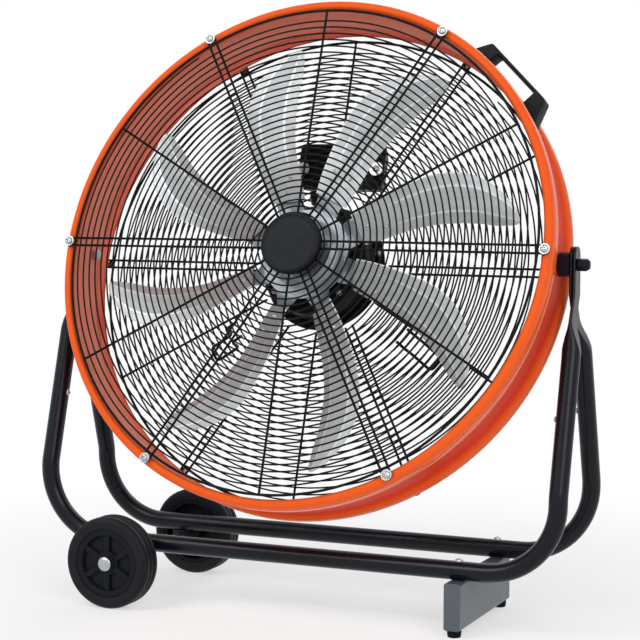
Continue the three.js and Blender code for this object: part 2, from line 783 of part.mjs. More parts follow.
// An upper tube: round at the sleeve, pressed flat into an upright tongue round the pivot bolt.
// Each station is a height, a depth, an x, a half width, a share of flatness and a share of lean.
function make_upper_tube(end, side) {
  const bottom = sleeve_height + seat_gap / 2;
  const round_end = tongue_start_height - flatten_length;
  const layer = side < 0 ? 1.5 * tongue_thickness + seat_gap : 0.5 * tongue_thickness;
  const tongue_x = tongue_inner_face + layer;
  const tongue_y = tongue_half_width + seat_gap / 2;
  const centre = tongue_top_height - tongue_half_width;
  const pressed = [0, 0.35, 0.65, 1].map((share) => {
    const height = THREE.MathUtils.lerp(round_end, tongue_start_height, share);
    const flat = THREE.MathUtils.smoothstep(share, 0, 1);
    const width = THREE.MathUtils.lerp(tube_radius, tongue_half_width, flat);
    const x = THREE.MathUtils.lerp(stand_half_width, tongue_x, flat);
    return [height, Math.max(lean_depth_at(height), tongue_y), x, width, flat, 1 - share];
  });
  const rounding = [0, 0.5, 0.8, 0.97].map((share) => [
    centre + share * tongue_half_width, 0, tongue_x, tongue_half_width * Math.sqrt(1 - share ** 2), 1, 0,
  ]);
  const stations = [
    [bottom, lean_depth_at(bottom), stand_half_width, tube_radius, 0, 1],
    ...pressed,
    [tongue_start_height + tongue_cross_height, 0, tongue_x, tongue_half_width, 1, 0],
    ...rounding,
  ];
  const rings = stations.map(([height, depth, x, width, flat, leaning]) => {
    const angle = side * leaning * Math.atan(lean);
    const thick = THREE.MathUtils.lerp(tube_radius, tongue_thickness / 2, flat);
    const squareness = THREE.MathUtils.lerp(1, 2.2, flat);
    return ring_of_points(1, tube_sides, Math.PI / tube_sides).map((p) => new THREE.Vector3(
      end * (x + thick * THREE.MathUtils.clamp(squareness * p.x, -1, 1)),
      side * depth + width * p.y * Math.cos(angle),
      height + width * p.y * Math.sin(angle),
    ));
  });
  const hole = along_x(pin(pivot_bolt_radius + bore_gap, tongue_inner_face - 9, tongue_outer_face + 9));
  return cut(loft(rings), [hole.scale(end, 1, 1).translate(0, 0, pivot_height)]);
}

// Wheels turn about Y on one axle, which two brackets hang under the rails.
function make_tyre() {
  const half = wheel_width / 2;
  const tread = half - 5;
  const shoulder = wheel_radius - 1.2;
  const profile = [[tyre_inner_radius, -half + 1], [wheel_radius - 5, -half], [shoulder, -half + 2]];
  const lands = tyre_grooves + 1;
  const pitch = (2 * tread) / (lands + (lands - 1) * 0.5);
  for (let k = 0; k < lands; k += 1) {
    const start = -tread + 1.5 * k * pitch;
    profile.push([wheel_radius, start], [wheel_radius, start + pitch]);
    if (k < tyre_grooves) profile.push([wheel_radius - tyre_groove, start + 1.25 * pitch]);
  }
  profile.push([shoulder, half - 2], [wheel_radius - 5, half], [tyre_inner_radius, half - 1]);
  return turned(profile, wheel_facets);
}

function make_wheel_hub() {
  const half = wheel_width / 2;
  const rim = tyre_inner_radius - seat_gap;
  const bore = axle_radius + bore_gap;
  const body = turned([
    [bore, -half],
    [hub_centre_radius, -half],
    [hub_centre_radius + 1, -half + 3],
    [rim - 5, -half + 3],
    [rim - 4, -half + 1.5],
    [rim, -half + 1.5],
    [rim, half - 1.5],
    [rim - 4, half - 1.5],
    [rim - 4, -half + hub_web],
    [hub_centre_radius, -half + hub_web],
    [hub_centre_radius, half],
    [bore, half],
  ], wheel_facets);
  const pockets = Array.from({ length: hub_pockets }, (_, k) => {
    const inner = hub_centre_radius + 4;
    const outer = rim - 8;
    const spread = (radius) => Math.PI / hub_pockets - hub_rib / 2 / radius;
    const shape = new THREE.Shape();
    shape.absarc(0, 0, outer, -spread(outer), spread(outer), false);
    shape.absarc(0, 0, inner, spread(inner), -spread(inner), true);
    const options = { depth: hub_web, bevelEnabled: false, curveSegments: 2 };
    const pocket = new THREE.ExtrudeGeometry(shape, options);
    pocket.rotateX(Math.PI / 2).translate(0, -half + hub_web - 2, 0);
    return pocket.rotateY((2 * Math.PI * k) / hub_pockets);
  });
  return cut(body, pockets);
}

const bracket_face = stand_half_depth + bracket_thickness / 2;

function make_axle() {
  const end = wheel_half_track + wheel_width / 2 + 1.5;
  const collar = [bracket_face + seat_gap, wheel_half_track - wheel_width / 2 - seat_gap];
  return turned([
    [0, -end],
    [axle_radius, -end],
    [axle_radius, -collar[1]], [axle_collar_radius, -collar[1]],
    [axle_collar_radius, -collar[0]], [axle_radius, -collar[0]],
    [axle_radius, collar[0]], [axle_collar_radius, collar[0]],
    [axle_collar_radius, collar[1]], [axle_radius, collar[1]],
    [axle_radius, end],
    [0, end],
  ], 12);
}

function make_axle_cap() {
  const start = wheel_half_track + wheel_width / 2 + 1.5 + seat_gap;
  return turned([
    [0, start],
    [axle_cap_radius, start],
    [axle_cap_radius, start + 0.5 * axle_cap_height],
    [0.7 * axle_cap_radius, start + 0.88 * axle_cap_height],
    [0, start + axle_cap_height],
  ], 16);
}

function make_axle_bracket() {
  const top = rail_height - tube_radius - seat_gap - wheel_radius;
  const shape = new THREE.Shape();
  shape.moveTo(bracket_half_width, top);
  shape.lineTo(-bracket_half_width, top);
  shape.absarc(0, 0, bracket_drop, Math.PI, 2 * Math.PI, false);
  shape.closePath();
  const options = { depth: bracket_thickness, bevelEnabled: false, curveSegments: 5 };
  const plate = new THREE.ExtrudeGeometry(shape, options);
  plate.rotateX(Math.PI / 2).translate(0, bracket_thickness / 2, 0);
  return cut(plate, [pin(axle_radius + bore_gap, -bracket_thickness, bracket_thickness)]);
}

// The foot bar: a folded box under both rails, on two rubber feet.
function make_foot_bar() {
  const bottom = foot_height + seat_gap;
  const height = rail_height - tube_radius - seat_gap - bottom;
  const outline = rounded_rectangle(foot_bar_thickness, height, foot_bar_corner);
  const options = { depth: foot_bar_length, bevelEnabled: false, curveSegments: 2 };
  const bar = new THREE.ExtrudeGeometry(outline, options);
  return bar.rotateX(Math.PI / 2).translate(foot_bar_place, foot_bar_length / 2, bottom + height / 2);
}

function make_rubber_foot() {
  const foot = new THREE.CylinderGeometry(foot_radius, foot_radius - 0.8, foot_height, 16);
  return foot.rotateX(Math.PI / 2).translate(foot_bar_place, 0, foot_height / 2);
}

const fan = new THREE.Group();
const drum = new THREE.Group();
drum.position.set(0, 0, pivot_height);
drum.rotation.x = -radians(drum_tilt);
fan.add(drum);

add(drum, 'drum_shell', make_drum(), paint_orange);

const front_guard = new THREE.Group();
front_guard.position.y = front_spoke_plane;
drum.add(front_guard);
const front_plate = guard_plate(front_plate_radius, 0);
add(front_guard, 'front_guard_spokes', guard_spokes(front_plate, front_plate_radius, front_dome), wire_black);
add(front_guard, 'front_guard_spiral', guard_spiral(front_spiral_inner, front_dome), wire_black);
add(front_guard, 'front_guard_cap', make_cap(), plastic_black);
for (let k = 0; k < guard_pairs; k += 1) {
  const screw = add(front_guard, `front_guard_screw_${k + 1}`, make_guard_screw(), zinc);
  const angle = (2 * Math.PI * k) / guard_pairs;
  screw.position.set(guard_screw_circle * Math.cos(angle), 0, guard_screw_circle * Math.sin(angle));
}

const rear_guard = new THREE.Group();
rear_guard.position.y = rear_spoke_plane;
rear_guard.rotation.z = Math.PI;
drum.add(rear_guard);
const rear_plate = guard_plate(rear_plate_radius, motor_radius + 1.5);
add(rear_guard, 'rear_guard_spokes', guard_spokes(rear_plate, rear_plate_radius, 0), wire_black);
add(rear_guard, 'rear_guard_spiral', guard_spiral(rear_spiral_inner, 0), wire_black);
add(drum, 'cord_hook_right', make_hook(1), wire_black);
add(drum, 'cord_hook_left', make_hook(-1), wire_black);

add(drum, 'hub_spider', make_spider(), hub_steel);
add(drum, 'hub_nut', make_hub_nut(), zinc);
add(drum, 'motor_shaft', make_shaft(), zinc);
for (let k = 0; k < blade_count; k += 1) {
  const blade = add(drum, `blade_${k + 1}`, make_blade(), sheet_grey);
  blade.rotation.y = -radians(blade_first_angle) - (2 * Math.PI * k) / blade_count;
}
add(drum, 'motor_front_bell', make_motor_front(), paint_black);
add(drum, 'motor_rear_bell', make_motor_rear(), paint_black);

add(drum, 'control_box', make_control_box(), plastic_black);
const knob = add(drum, 'speed_knob', make_knob(), plastic_black);
knob.position.set(0, box_back, box_centre_height);
const gland = add(drum, 'cable_gland', make_gland(), plastic_black);
gland.position.set(gland_place, (box_front + box_back) / 2, box_centre_height - box_height / 2 - seat_gap);
add(drum, 'carrying_handle', make_handle(), plastic_black);

for (const [name, end] of [['right', 1], ['left', -1]]) {
  const pivot = new THREE.Group();
  pivot.rotation.y = end > 0 ? 0 : Math.PI;
  drum.add(pivot);
  add(pivot, `pivot_bolt_${name}`, make_pivot_bolt(), zinc);
  add(pivot, `pivot_spacer_${name}`, make_pivot_spacer(), plastic_black);
  add(pivot, `pivot_cap_${name}`, make_pivot_cap(), plastic_black);
  add(fan, `upper_tube_${name}_front`, make_upper_tube(end, -1), paint_black);
  add(fan, `upper_tube_${name}_rear`, make_upper_tube(end, 1), paint_black);
}

for (const [name, side] of [['front', -1], ['rear', 1]]) {
  add(fan, `lower_tube_${name}`, make_rail(side), paint_black);
  const bracket = add(fan, `axle_bracket_${name}`, make_axle_bracket(), paint_black);
  bracket.position.set(wheel_place, side * stand_half_depth, wheel_radius);
  const wheel = new THREE.Group();
  wheel.position.set(wheel_place, side * wheel_half_track, wheel_radius);
  wheel.rotation.z = side < 0 ? 0 : Math.PI;
  fan.add(wheel);
  add(wheel, `tyre_${name}`, make_tyre(), rubber_black);
  add(wheel, `wheel_hub_${name}`, make_wheel_hub(), plastic_black);
  const cap = add(fan, `axle_cap_${name}`, make_axle_cap(), zinc);
  cap.position.set(wheel_place, 0, wheel_radius);
  cap.rotation.z = side < 0 ? Math.PI : 0;
  const foot = add(fan, `rubber_foot_${name}`, make_rubber_foot(), rubber_black);
  foot.position.y = side * foot_half_spacing;
}
const axle = add(fan, 'wheel_axle', make_axle(), zinc);
axle.position.set(wheel_place, 0, wheel_radius);
add(fan, 'foot_bar', make_foot_bar(), paint_black);

// The fan stands on z = 0 with the middle of its outline over the origin.
const outline = new THREE.Box3().setFromObject(fan, true);
fan.position.set(-(outline.min.x + outline.max.x) / 2, -(outline.min.y + outline.max.y) / 2, -outline.min.z);

export default fan;
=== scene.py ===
import json
import math
import bpy
import bmesh
from mathutils import Matrix, Vector


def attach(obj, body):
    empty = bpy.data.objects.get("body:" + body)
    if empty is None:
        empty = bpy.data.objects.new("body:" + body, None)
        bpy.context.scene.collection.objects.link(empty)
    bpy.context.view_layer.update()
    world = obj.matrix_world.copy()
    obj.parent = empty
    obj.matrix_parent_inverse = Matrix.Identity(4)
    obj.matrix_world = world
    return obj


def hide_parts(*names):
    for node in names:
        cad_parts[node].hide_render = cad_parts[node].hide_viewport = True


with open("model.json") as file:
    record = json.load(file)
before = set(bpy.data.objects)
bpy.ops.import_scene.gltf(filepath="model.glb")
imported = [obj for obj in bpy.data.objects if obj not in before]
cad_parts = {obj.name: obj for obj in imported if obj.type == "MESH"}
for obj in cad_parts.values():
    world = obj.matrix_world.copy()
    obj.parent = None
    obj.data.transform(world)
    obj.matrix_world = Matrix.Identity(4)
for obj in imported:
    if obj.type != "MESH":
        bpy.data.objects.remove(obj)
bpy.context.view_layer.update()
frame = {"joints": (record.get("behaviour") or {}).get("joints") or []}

# The camera stands where the photographer stood, to the right of the fan and a little above the
# drum's axle, with a long lens. The room is white and softly lit from all sides.
yaw, pitch, roll = 0.4138, 0.0760, 0.0015
focal_pixels, picture_pixels, film_width = 1820.9, 640, 36
ahead = Vector((
    -math.sin(yaw) * math.cos(pitch), math.cos(yaw) * math.cos(pitch), -math.sin(pitch)))
level = Vector((math.cos(yaw), math.sin(yaw), 0.0))
right = level * math.cos(roll) + level.cross(ahead) * math.sin(roll)
camera = bpy.data.objects.new("camera", bpy.data.cameras.new("camera"))
camera.matrix_world = Matrix((right, right.cross(ahead), -ahead)).transposed().to_4x4()
camera.location = (0.9017, -2.0225, 0.5221)
camera.data.lens = focal_pixels / picture_pixels * film_width
bpy.context.scene.collection.objects.link(camera)
bpy.context.scene.camera = camera
bpy.context.scene.view_settings.view_transform = "Standard"

white = (1.0, 1.0, 1.0, 1.0)
world = bpy.data.worlds.new("white_room")
world.use_nodes = True
tree = world.node_tree
room = tree.nodes["Background"]
seen = tree.nodes.new("ShaderNodeBackground")
rays = tree.nodes.new("ShaderNodeLightPath")
either = tree.nodes.new("ShaderNodeMath")
either.operation = "MAXIMUM"
any_of = tree.nodes.new("ShaderNodeMath")
any_of.operation = "MAXIMUM"
choose = tree.nodes.new("ShaderNodeMixShader")
room.inputs["Color"].default_value = white
room.inputs["Strength"].default_value = 0.5
seen.inputs["Color"].default_value = white
tree.links.new(rays.outputs["Is Camera Ray"], either.inputs[0])
tree.links.new(rays.outputs["Is Glossy Ray"], either.inputs[1])
tree.links.new(either.outputs[0], any_of.inputs[0])
tree.links.new(rays.outputs["Is Transmission Ray"], any_of.inputs[1])
tree.links.new(any_of.outputs[0], choose.inputs["Fac"])
tree.links.new(room.outputs[0], choose.inputs[1])
tree.links.new(seen.outputs[0], choose.inputs[2])
tree.links.new(choose.outputs[0], tree.nodes["World Output"].inputs["Surface"])
bpy.context.scene.world = world

lamp_target = Vector((0.0, 0.0, 0.35))
for name, place, size, power in (
        ("lamp_over_left", (-1.4, -2.6, 2.8), 1.8, 52),
        ("lamp_over_right", (2.2, -2.2, 1.9), 1.6, 34),
        ("lamp_behind", (0.4, 2.4, 2.0), 1.6, 12)):
    lamp = bpy.data.objects.new(name, bpy.data.lights.new(name, "AREA"))
    lamp.data.size = size
    lamp.data.energy = power
    lamp.location = place
    lamp.rotation_euler = (lamp_target - Vector(place)).to_track_quat("-Z", "Y").to_euler()
    bpy.context.scene.collection.objects.link(lamp)


# The drum is one rolled steel sheet with a full bead in front, a waist in the middle and a
# narrower bead behind. It is spun from its outline, given its thickness and enamelled orange.
millimetre = Matrix.Scale(0.001, 4)
lean_back = math.radians(-19)
pivot = Vector(next(j for j in frame["joints"] if j["name"] == "drum_tilt")["pos_m"])
in_floor = Matrix.Translation((0.0, pivot.y, 0.0)) @ millimetre
in_drum = Matrix.Translation(pivot) @ Matrix.Rotation(lean_back, 4, "X") @ millimetre


class Value:
    """One number of a finish. Python's operators on it add the matching Math nodes."""

    def __init__(self, finish, socket):
        self.finish = finish
        self.socket = socket

    def math(self, operation, first, second):
        return self.finish.node("ShaderNodeMath", {"operation": operation}, [first, second])

    def __add__(self, other):
        return self.math("ADD", self, other)

    def __radd__(self, other):
        return self.math("ADD", other, self)

    def __mul__(self, other):
        return self.math("MULTIPLY", self, other)

    def __rmul__(self, other):
        return self.math("MULTIPLY", other, self)

    def __sub__(self, other):
        return self.math("SUBTRACT", self, other)


class Finish:
    """A material whose nodes are added one by one. Colours are given as they look on screen."""

    def __init__(self, name, **sockets):
        self.material = bpy.data.materials.new(name)
        self.material.use_nodes = True
        self.tree = self.material.node_tree
        self.shader = self.tree.nodes["Principled BSDF"]
        self.place = Value(self, self.tree.nodes.new("ShaderNodeTexCoord").outputs["Object"])
        self.set(**sockets)

    def set(self, **sockets):
        for name, value in sockets.items():
            self.join(value, self.shader.inputs[name.replace("_", " ")])

    def join(self, value, socket):
        if isinstance(value, Value):
            self.tree.links.new(value.socket, socket)
        else:
            socket.default_value = value

    def node(self, kind, settings, values, output=0):
        """Adds a node. Its values are given by the sockets' names, or as a list in their order."""
        node = self.tree.nodes.new(kind)
        for name, value in settings.items():
            setattr(node, name, value)
        open_sockets = [socket for socket in node.inputs if socket.enabled]
        pairs = values.items() if isinstance(values, dict) else enumerate(values)
        for name, value in pairs:
            socket = open_sockets[name] if isinstance(name, int) else next(
                socket for socket in open_sockets if socket.name == name)
            self.join(value, socket)
        return Value(self, [socket for socket in node.outputs if socket.enabled][output])

    def noise(self, scale, detail=3.0, stretch=(1.0, 1.0, 1.0)):
        place = self.node("ShaderNodeMapping", {}, {"Vector": self.place, "Scale": stretch})
        return self.node(
            "ShaderNodeTexNoise", {}, {"Vector": place, "Scale": scale, "Detail": detail})

    def between(self, share, low, high):
        return self.node("ShaderNodeMapRange", {}, {
            "Value": share, "From Min": low, "From Max": high, "To Min": 0.0, "To Max": 1.0})

    def blend(self, share, first, second):
        return self.node(
            "ShaderNodeMix", {"data_type": "RGBA"}, {"Factor": share, "A": first, "B": second})

    def bumps(self, height, strength, depth):
        self.set(Normal=self.node(
            "ShaderNodeBump", {}, {"Height": height, "Strength": strength, "Distance": depth}))


def shade(red, green, blue):
    """A colour as read off a screen, from 0 to 255, in the numbers that a shader takes."""
    return tuple((c / 255 / 12.92) if c / 255 < 0.0405 else ((c / 255 + 0.055) / 1.055) ** 2.4
                 for c in (red, green, blue)) + (1.0,)


def fit(name, mesh, place, finish, body, nodes=(), sharp=35):
    """Makes a piece of a bmesh in millimetres, and hangs it on its body in place of CAD nodes."""
    bmesh.ops.remove_doubles(mesh, verts=mesh.verts, dist=0.002)
    bmesh.ops.recalc_face_normals(mesh, faces=mesh.faces)
    mesh.transform(place)
    data = bpy.data.meshes.new(name)
    mesh.to_mesh(data)
    mesh.free()
    data.shade_smooth()
    data.set_sharp_from_angle(angle=math.radians(sharp))
    data.materials.append(finish.material)
    piece = bpy.data.objects.new(name, data)
    bpy.context.scene.collection.objects.link(piece)
    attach(piece, body)
    if nodes:
        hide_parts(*nodes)
    return piece


def spun(points, steps, closed=False):
    """Spins a line of [radius, y] points round the drum's axis. A closed line joins its ends."""
    mesh = bmesh.new()
    spots = [mesh.verts.new((radius, y, 0.0)) for radius, y in points]
    ends = spots[1:] + spots[:1] if closed else spots[1:]
    edges = [mesh.edges.new(pair) for pair in zip(spots, ends)]
    bmesh.ops.spin(mesh, geom=spots + edges, cent=(0, 0, 0), axis=(0.0, 1.0, 0.0),
                   angle=2 * math.pi, steps=steps, use_merge=True)
    bmesh.ops.remove_doubles(mesh, verts=mesh.verts, dist=0.001)
    return mesh


enamel = Finish(
    "orange_enamel", Metallic=0.0, Coat_Roughness=0.08, Specular_IOR_Level=0.05)
cloud = enamel.noise(5.0, 2.0)
grain = enamel.noise(900.0, 2.0)
upright = enamel.node("ShaderNodeMapping", {"vector_type": "TEXTURE"}, {
    "Vector": enamel.place, "Location": pivot, "Rotation": (lean_back, 0.0, 0.0)})
flat = enamel.node("ShaderNodeVectorMath", {"operation": "MULTIPLY"}, [upright, (1.0, 0.0, 1.0)])
reach = enamel.node("ShaderNodeVectorMath", {"operation": "LENGTH"}, [flat])
depth = enamel.node("ShaderNodeSeparateXYZ", {}, [upright], 1)
# Behind the front lip, where the sheet narrows into its waist, the enamel turns a deep red:
# painted shade for the groove that the beads shade. The front lip and the bead crests stay orange.
waist_ends, bead_starts, lip_ends = (0.3108, 0.3150), (0.3145, 0.3172), (-0.040, -0.047)
orange = enamel.blend(cloud, shade(240, 98, 36), shade(233, 88, 32))
waist = enamel.blend(enamel.between(reach, *waist_ends), shade(220, 56, 26), orange)
enamel.set(
    Base_Color=enamel.blend(enamel.between(depth, *lip_ends), waist, orange),
    Coat_Weight=0.4 * enamel.between(reach, *bead_starts),
    Roughness=0.30 + 0.14 * enamel.noise(60.0, 4.0))
enamel.bumps(grain, 0.10, 0.0006)
# The inner wall has its own enamel in a pale salmon, lighter than the outside: painted light,
# lifting the wall against the shade inside the drum so that it renders as a muted brick there.
inner_wall_painted_light = Finish("orange_enamel_inside", Metallic=0.0, Specular_IOR_Level=0.05)
inner_wall_painted_light.set(
    Base_Color=inner_wall_painted_light.blend(inner_wall_painted_light.noise(7.0, 3.0), shade(255, 156, 132), shade(248, 144, 118)),
    Roughness=0.46 + 0.16 * inner_wall_painted_light.noise(60.0, 4.0))
inner_wall_painted_light.bumps(inner_wall_painted_light.noise(900.0, 2.0), 0.10, 0.0006)

drum_line = [
    (305.2, -47.8), (305.2, -50.5), (305.6, -52.8), (306.6, -54.7), (308.1, -55.9),
    (310.0, -56.4), (312.4, -56.1), (314.6, -54.9), (316.4, -52.7), (317.3, -49.8),
    (317.6, -46.5), (317.6, -42.0), (317.3, -36.0), (316.3, -30.5), (314.9, -25.5),
    (313.2, -20.5), (311.9, -17.0), (311.2, -14.8), (311.0, -12.0), (311.0, 11.0),
    (311.2, 14.0), (312.2, 16.5), (313.9, 19.0), (315.7, 21.8), (317.2, 25.2), (317.6, 28.6),
    (317.5, 32.0), (316.3, 35.0), (314.1, 36.7), (311.4, 36.8), (308.8, 35.9), (306.9, 34.7)]
shell = spun(drum_line, 144)
bmesh.ops.recalc_face_normals(shell, faces=shell.faces)
drum = fit("drum", shell, in_drum, enamel, "drum", ["drum_shell"], sharp=60)
# The sheet's inner face takes that pale salmon enamel, which is painted light.
drum.data.materials.append(inner_wall_painted_light.material)
wall = drum.modifiers.new("sheet", "SOLIDIFY")
wall.material_offset = 1
wall.thickness = 0.0015
wall.offset = -1.0
wall.use_even_offset = False


# Each guard is round steel wire: hairpins that loop round the screws, single spokes between
# them, a rim ring, and one long spiral welded across them all. It is dipped in black coating.
def wire(name, routes, radius, sides, place, finish, body, nodes=(), loops=False):
    """Bends round wire along lists of points in millimetres."""
    curve = bpy.data.curves.new(name, "CURVE")
    curve.dimensions = "3D"
    curve.bevel_depth = radius / 1000
    curve.bevel_resolution = sides // 2 - 2
    curve.use_fill_caps = not loops
    for route in routes:
        line = curve.splines.new("POLY")
        line.points.add(len(route) - 1)
        for spot, point in zip(line.points, route):
            spot.co = (*(place @ Vector(point)), 1.0)
        line.use_cyclic_u = loops
    bent = bpy.data.objects.new(name, curve)
    data = bpy.data.meshes.new_from_object(bent)
    bpy.data.objects.remove(bent)
    data.name = name
    data.shade_smooth()
    data.set_sharp_from_angle(angle=math.radians(60))
    data.materials.clear()
    data.materials.append(finish.material)
    piece = bpy.data.objects.new(name, data)
    bpy.context.scene.collection.objects.link(piece)
    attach(piece, body)
    if nodes:
        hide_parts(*nodes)
    return piece


coated = Finish("coated_wire", Metallic=0.0, Specular_IOR_Level=0.1)
coated.set(
    Base_Color=coated.blend(coated.noise(40.0, 3.0), shade(10, 11, 13), shade(16, 17, 19)),
    Roughness=0.34 + 0.16 * coated.noise(150.0, 3.0))
coated.bumps(coated.noise(700.0, 2.0), 0.10, 0.0004)

screw_circle, rim_circle, spiral_end = 310.0, 301.6, 294.5
spoke_wire, ring_wire, rim_wire = 1.5, 1.05, 1.7
pair_gap, ring_pitch, spiral_clock, guard_rise = 4.75, 8.26, 318, 3.0


def cone(radius, rise):
    """How far a guard stands out at a radius: its middle is pushed out by the rise."""
    return -rise * (1 - radius / rim_circle)


def around(radius, degrees, y=0.0, side=0.0):
    """A point at a radius and a clock angle, moved sideways along the rim."""
    turn = math.radians(degrees)
    return (radius * math.cos(turn) - side * math.sin(turn), y,
            radius * math.sin(turn) + side * math.cos(turn))


def guard(name, place, middle, spiral_from, rise):
    """One guard, whose spokes begin at the middle's radius and whose spiral begins at its own."""
    spokes = []
    for k in range(6):
        pin = [around(middle, 60 * k, cone(middle, rise), -pair_gap)]
        for n in range(9):
            bend = math.radians(22.5 * n - 90)
            pin.append(around(screw_circle + pair_gap * math.cos(bend), 60 * k, 0.0,
                              pair_gap * math.sin(bend)))
        pin.append(around(middle, 60 * k, cone(middle, rise), pair_gap))
        spokes.append(pin)
        single = 60 * k + 30
        spokes.append([around(middle, single, cone(middle, rise)), around(rim_circle, single)])
    wire(f"{name}_spoke_wires", spokes, spoke_wire, 10, place, coated, "drum", [f"{name}_spokes"])
    rim = [around(rim_circle, 3 * k, -0.6) for k in range(120)]
    ring = wire(f"{name}_rim_ring", [rim], rim_wire, 8, place, coated, "drum", loops=True)
    lift, bow = spoke_wire + ring_wire, 0.12
    turns = []
    angle, last = 0.0, 2 * math.pi * (spiral_end - spiral_from) / ring_pitch
    while angle < last:
        radius = spiral_from + ring_pitch * angle / (2 * math.pi)
        turns.append(around(radius, spiral_clock - math.degrees(angle), cone(radius, rise) - lift))
        angle += 2 * math.acos(1 - bow / radius)
    turns.append(around(spiral_end, spiral_clock - math.degrees(last), -lift))
    wire(f"{name}_spiral_wire", [turns], ring_wire, 8, place, coated, "drum", [f"{name}_spiral"])


turned_back = Matrix.Rotation(math.pi, 4, "Z")
front_face = in_drum @ Matrix.Translation((0.0, -58.8, 0.0))
rear_face = in_drum @ Matrix.Translation((0.0, 39.3, 0.0)) @ turned_back
guard("front_guard", front_face, middle=31, spiral_from=34, rise=guard_rise)
guard("rear_guard", rear_face, middle=84, spiral_from=92, rise=0.0)


# The round cap in the middle of the front guard is moulded black plastic, slightly dished, with
# a soft rounded edge. Its face is bare. A steel disc behind it carries the wires' inner ends.
moulded = Finish("moulded_black", Metallic=0.0, Specular_IOR_Level=0.12)
moulded.set(
    Base_Color=moulded.blend(moulded.noise(30.0, 3.0), shade(14, 17, 21), shade(21, 24, 29)),
    Roughness=0.38 + 0.16 * moulded.noise(90.0, 3.0))
moulded.bumps(moulded.noise(1500.0, 2.0), 0.22, 0.0003)
solid_lift, solid_wire, seat_gap = 3.175, 1.75, 0.3
cap_back = -guard_rise - solid_lift - solid_wire - seat_gap
cap_line = [
    (0.0, -4.2), (24.0, -4.2), (24.0, cap_back), (37.4, cap_back), (38.3, cap_back - 0.7),
    (38.4, cap_back - 2.2), (38.1, cap_back - 3.6), (37.2, cap_back - 4.8),
    (36.0, cap_back - 5.5), (34.6, cap_back - 5.85), (33.4, cap_back - 5.8),
    (32.6, cap_back - 5.3), (31.8, cap_back - 5.2), (18.0, cap_back - 5.75),
    (6.0, cap_back - 5.95), (0.0, cap_back - 6.0)]
fit("guard_cap", spun(cap_line, 96), front_face, moulded, "drum", ["front_guard_cap"], sharp=50)
disc = spun([(0.0, -1.2), (36.6, -1.2), (37.0, -0.8), (37.0, 0.8), (36.6, 1.2), (0.0, 1.2)], 64)
disc_place = front_face @ Matrix.Translation((0, -2.6, 0))
fit("guard_centre_disc", disc, disc_place, coated, "drum")
ring_line = [(71, -1.2), (78.6, -1.2), (79.0, -0.8), (79.0, 0.8), (78.6, 1.2), (71, 1.2)]
fit("motor_ring_plate", spun(ring_line, 96, True), rear_face, coated, "drum")


# Six zinc plated pan head screws with washers clamp the front guard on the rim, and six
# smaller ones the rear guard. Each head has a cross recess.
zinc = Finish("zinc_plate", Metallic=1.0)
zinc.set(
    Base_Color=zinc.blend(zinc.noise(120.0, 3.0), shade(158, 161, 165), shade(194, 196, 198)),
    Roughness=0.22 + 0.22 * zinc.noise(400.0, 3.0))
zinc.bumps(zinc.noise(900.0, 2.0), 0.08, 0.0003)


def pan_screw(head, height, washer, thickness):
    """A pan head at the origin that faces -y, with its washer behind it."""
    top, edge = -thickness - height, 0.25
    line = [
        (0.0, 0.0), (washer - edge, 0.0), (washer, -edge), (washer, -thickness + edge),
        (washer - edge, -thickness), (head, -thickness), (head, -thickness - 0.35 * height),
        (0.93 * head, -thickness - 0.62 * height), (0.78 * head, -thickness - 0.83 * height),
        (0.58 * head, top + 0.05 * height)]
    line += [(share * head, top) for share in (0.5, 0.42, 0.34, 0.26, 0.18, 0.1, 0.0)]
    mesh = spun(line, 40)
    for spot in mesh.verts:
        inner, outer = sorted((abs(spot.co.x), abs(spot.co.z)))
        if spot.co.y < top + 0.01 and inner < 0.12 * head and outer < 0.46 * head:
            spot.co.y += 0.45 * height
    return mesh


def fastener(name, mesh, place, body="drum"):
    """A small zinc plated piece that stands for no CAD node."""
    fit(name, mesh, place, zinc, body)


for k in range(6):
    turn = Matrix.Rotation(math.radians(37 * k), 4, "Y")
    spot = Matrix.Translation(around(screw_circle, 60 * k, -2.3))
    fit(f"guard_screw_{k + 1}", pan_screw(4.9, 3.1, 6.5, 1.2), front_face @ spot @ turn, zinc,
        "drum", [f"front_guard_screw_{k + 1}"], sharp=30)
    spot = Matrix.Translation(around(306.6, 60 * k, -2.0))
    fastener(f"rear_guard_screw_{k + 1}", pan_screw(3.6, 2.4, 5.0, 1.0), rear_face @ spot @ turn)


# The rotor has eight blades of rolled aluminium sheet. Each is pitched, swept forward to its
# rounded tip and stiffened by two pressed creases, and three rivets hold it on an arm of the hub.
blade_root, blade_tip, blade_width, rotor_plane = 72, 269, 63, -25
root_pitch, untwist, lead, sweep, tip_sweep = -36, 21, 4.6, 11.4, 8.3
blade_sheet, crease_height, crease_at, first_blade = 1.4, 2.5, 0.25, 25.4
widths = [
    (0, 0.627), (0.1, 0.718), (0.22, 0.777), (0.35, 0.836), (0.48, 0.93), (0.62, 1),
    (0.74, 0.975), (0.84, 0.867), (0.92, 0.617), (0.97, 0.378), (1, 0.214)]


def chord(share):
    """The blade's width at a share of its length, on a smooth line through the widths."""
    spot = next((k for k in range(len(widths) - 2) if share <= widths[k + 1][0]), len(widths) - 2)
    slopes = []
    for k in (spot, spot + 1):
        (x0, y0), (x1, y1) = widths[max(k - 1, 0)], widths[min(k + 1, len(widths) - 1)]
        slopes.append((y1 - y0) / (x1 - x0))
    (x0, y0), (x1, y1) = widths[spot], widths[spot + 1]
    gap = x1 - x0
    t = (share - x0) / gap
    width = (y0 * (2 * t ** 3 - 3 * t ** 2 + 1) + slopes[0] * gap * (t ** 3 - 2 * t ** 2 + t)
             + y1 * (3 * t ** 2 - 2 * t ** 3) + slopes[1] * gap * (t ** 3 - t ** 2))
    tip = min(max((share - 0.975) / 0.025, 0), 1)
    return blade_width * width * math.sqrt(1.0001 - tip * tip)


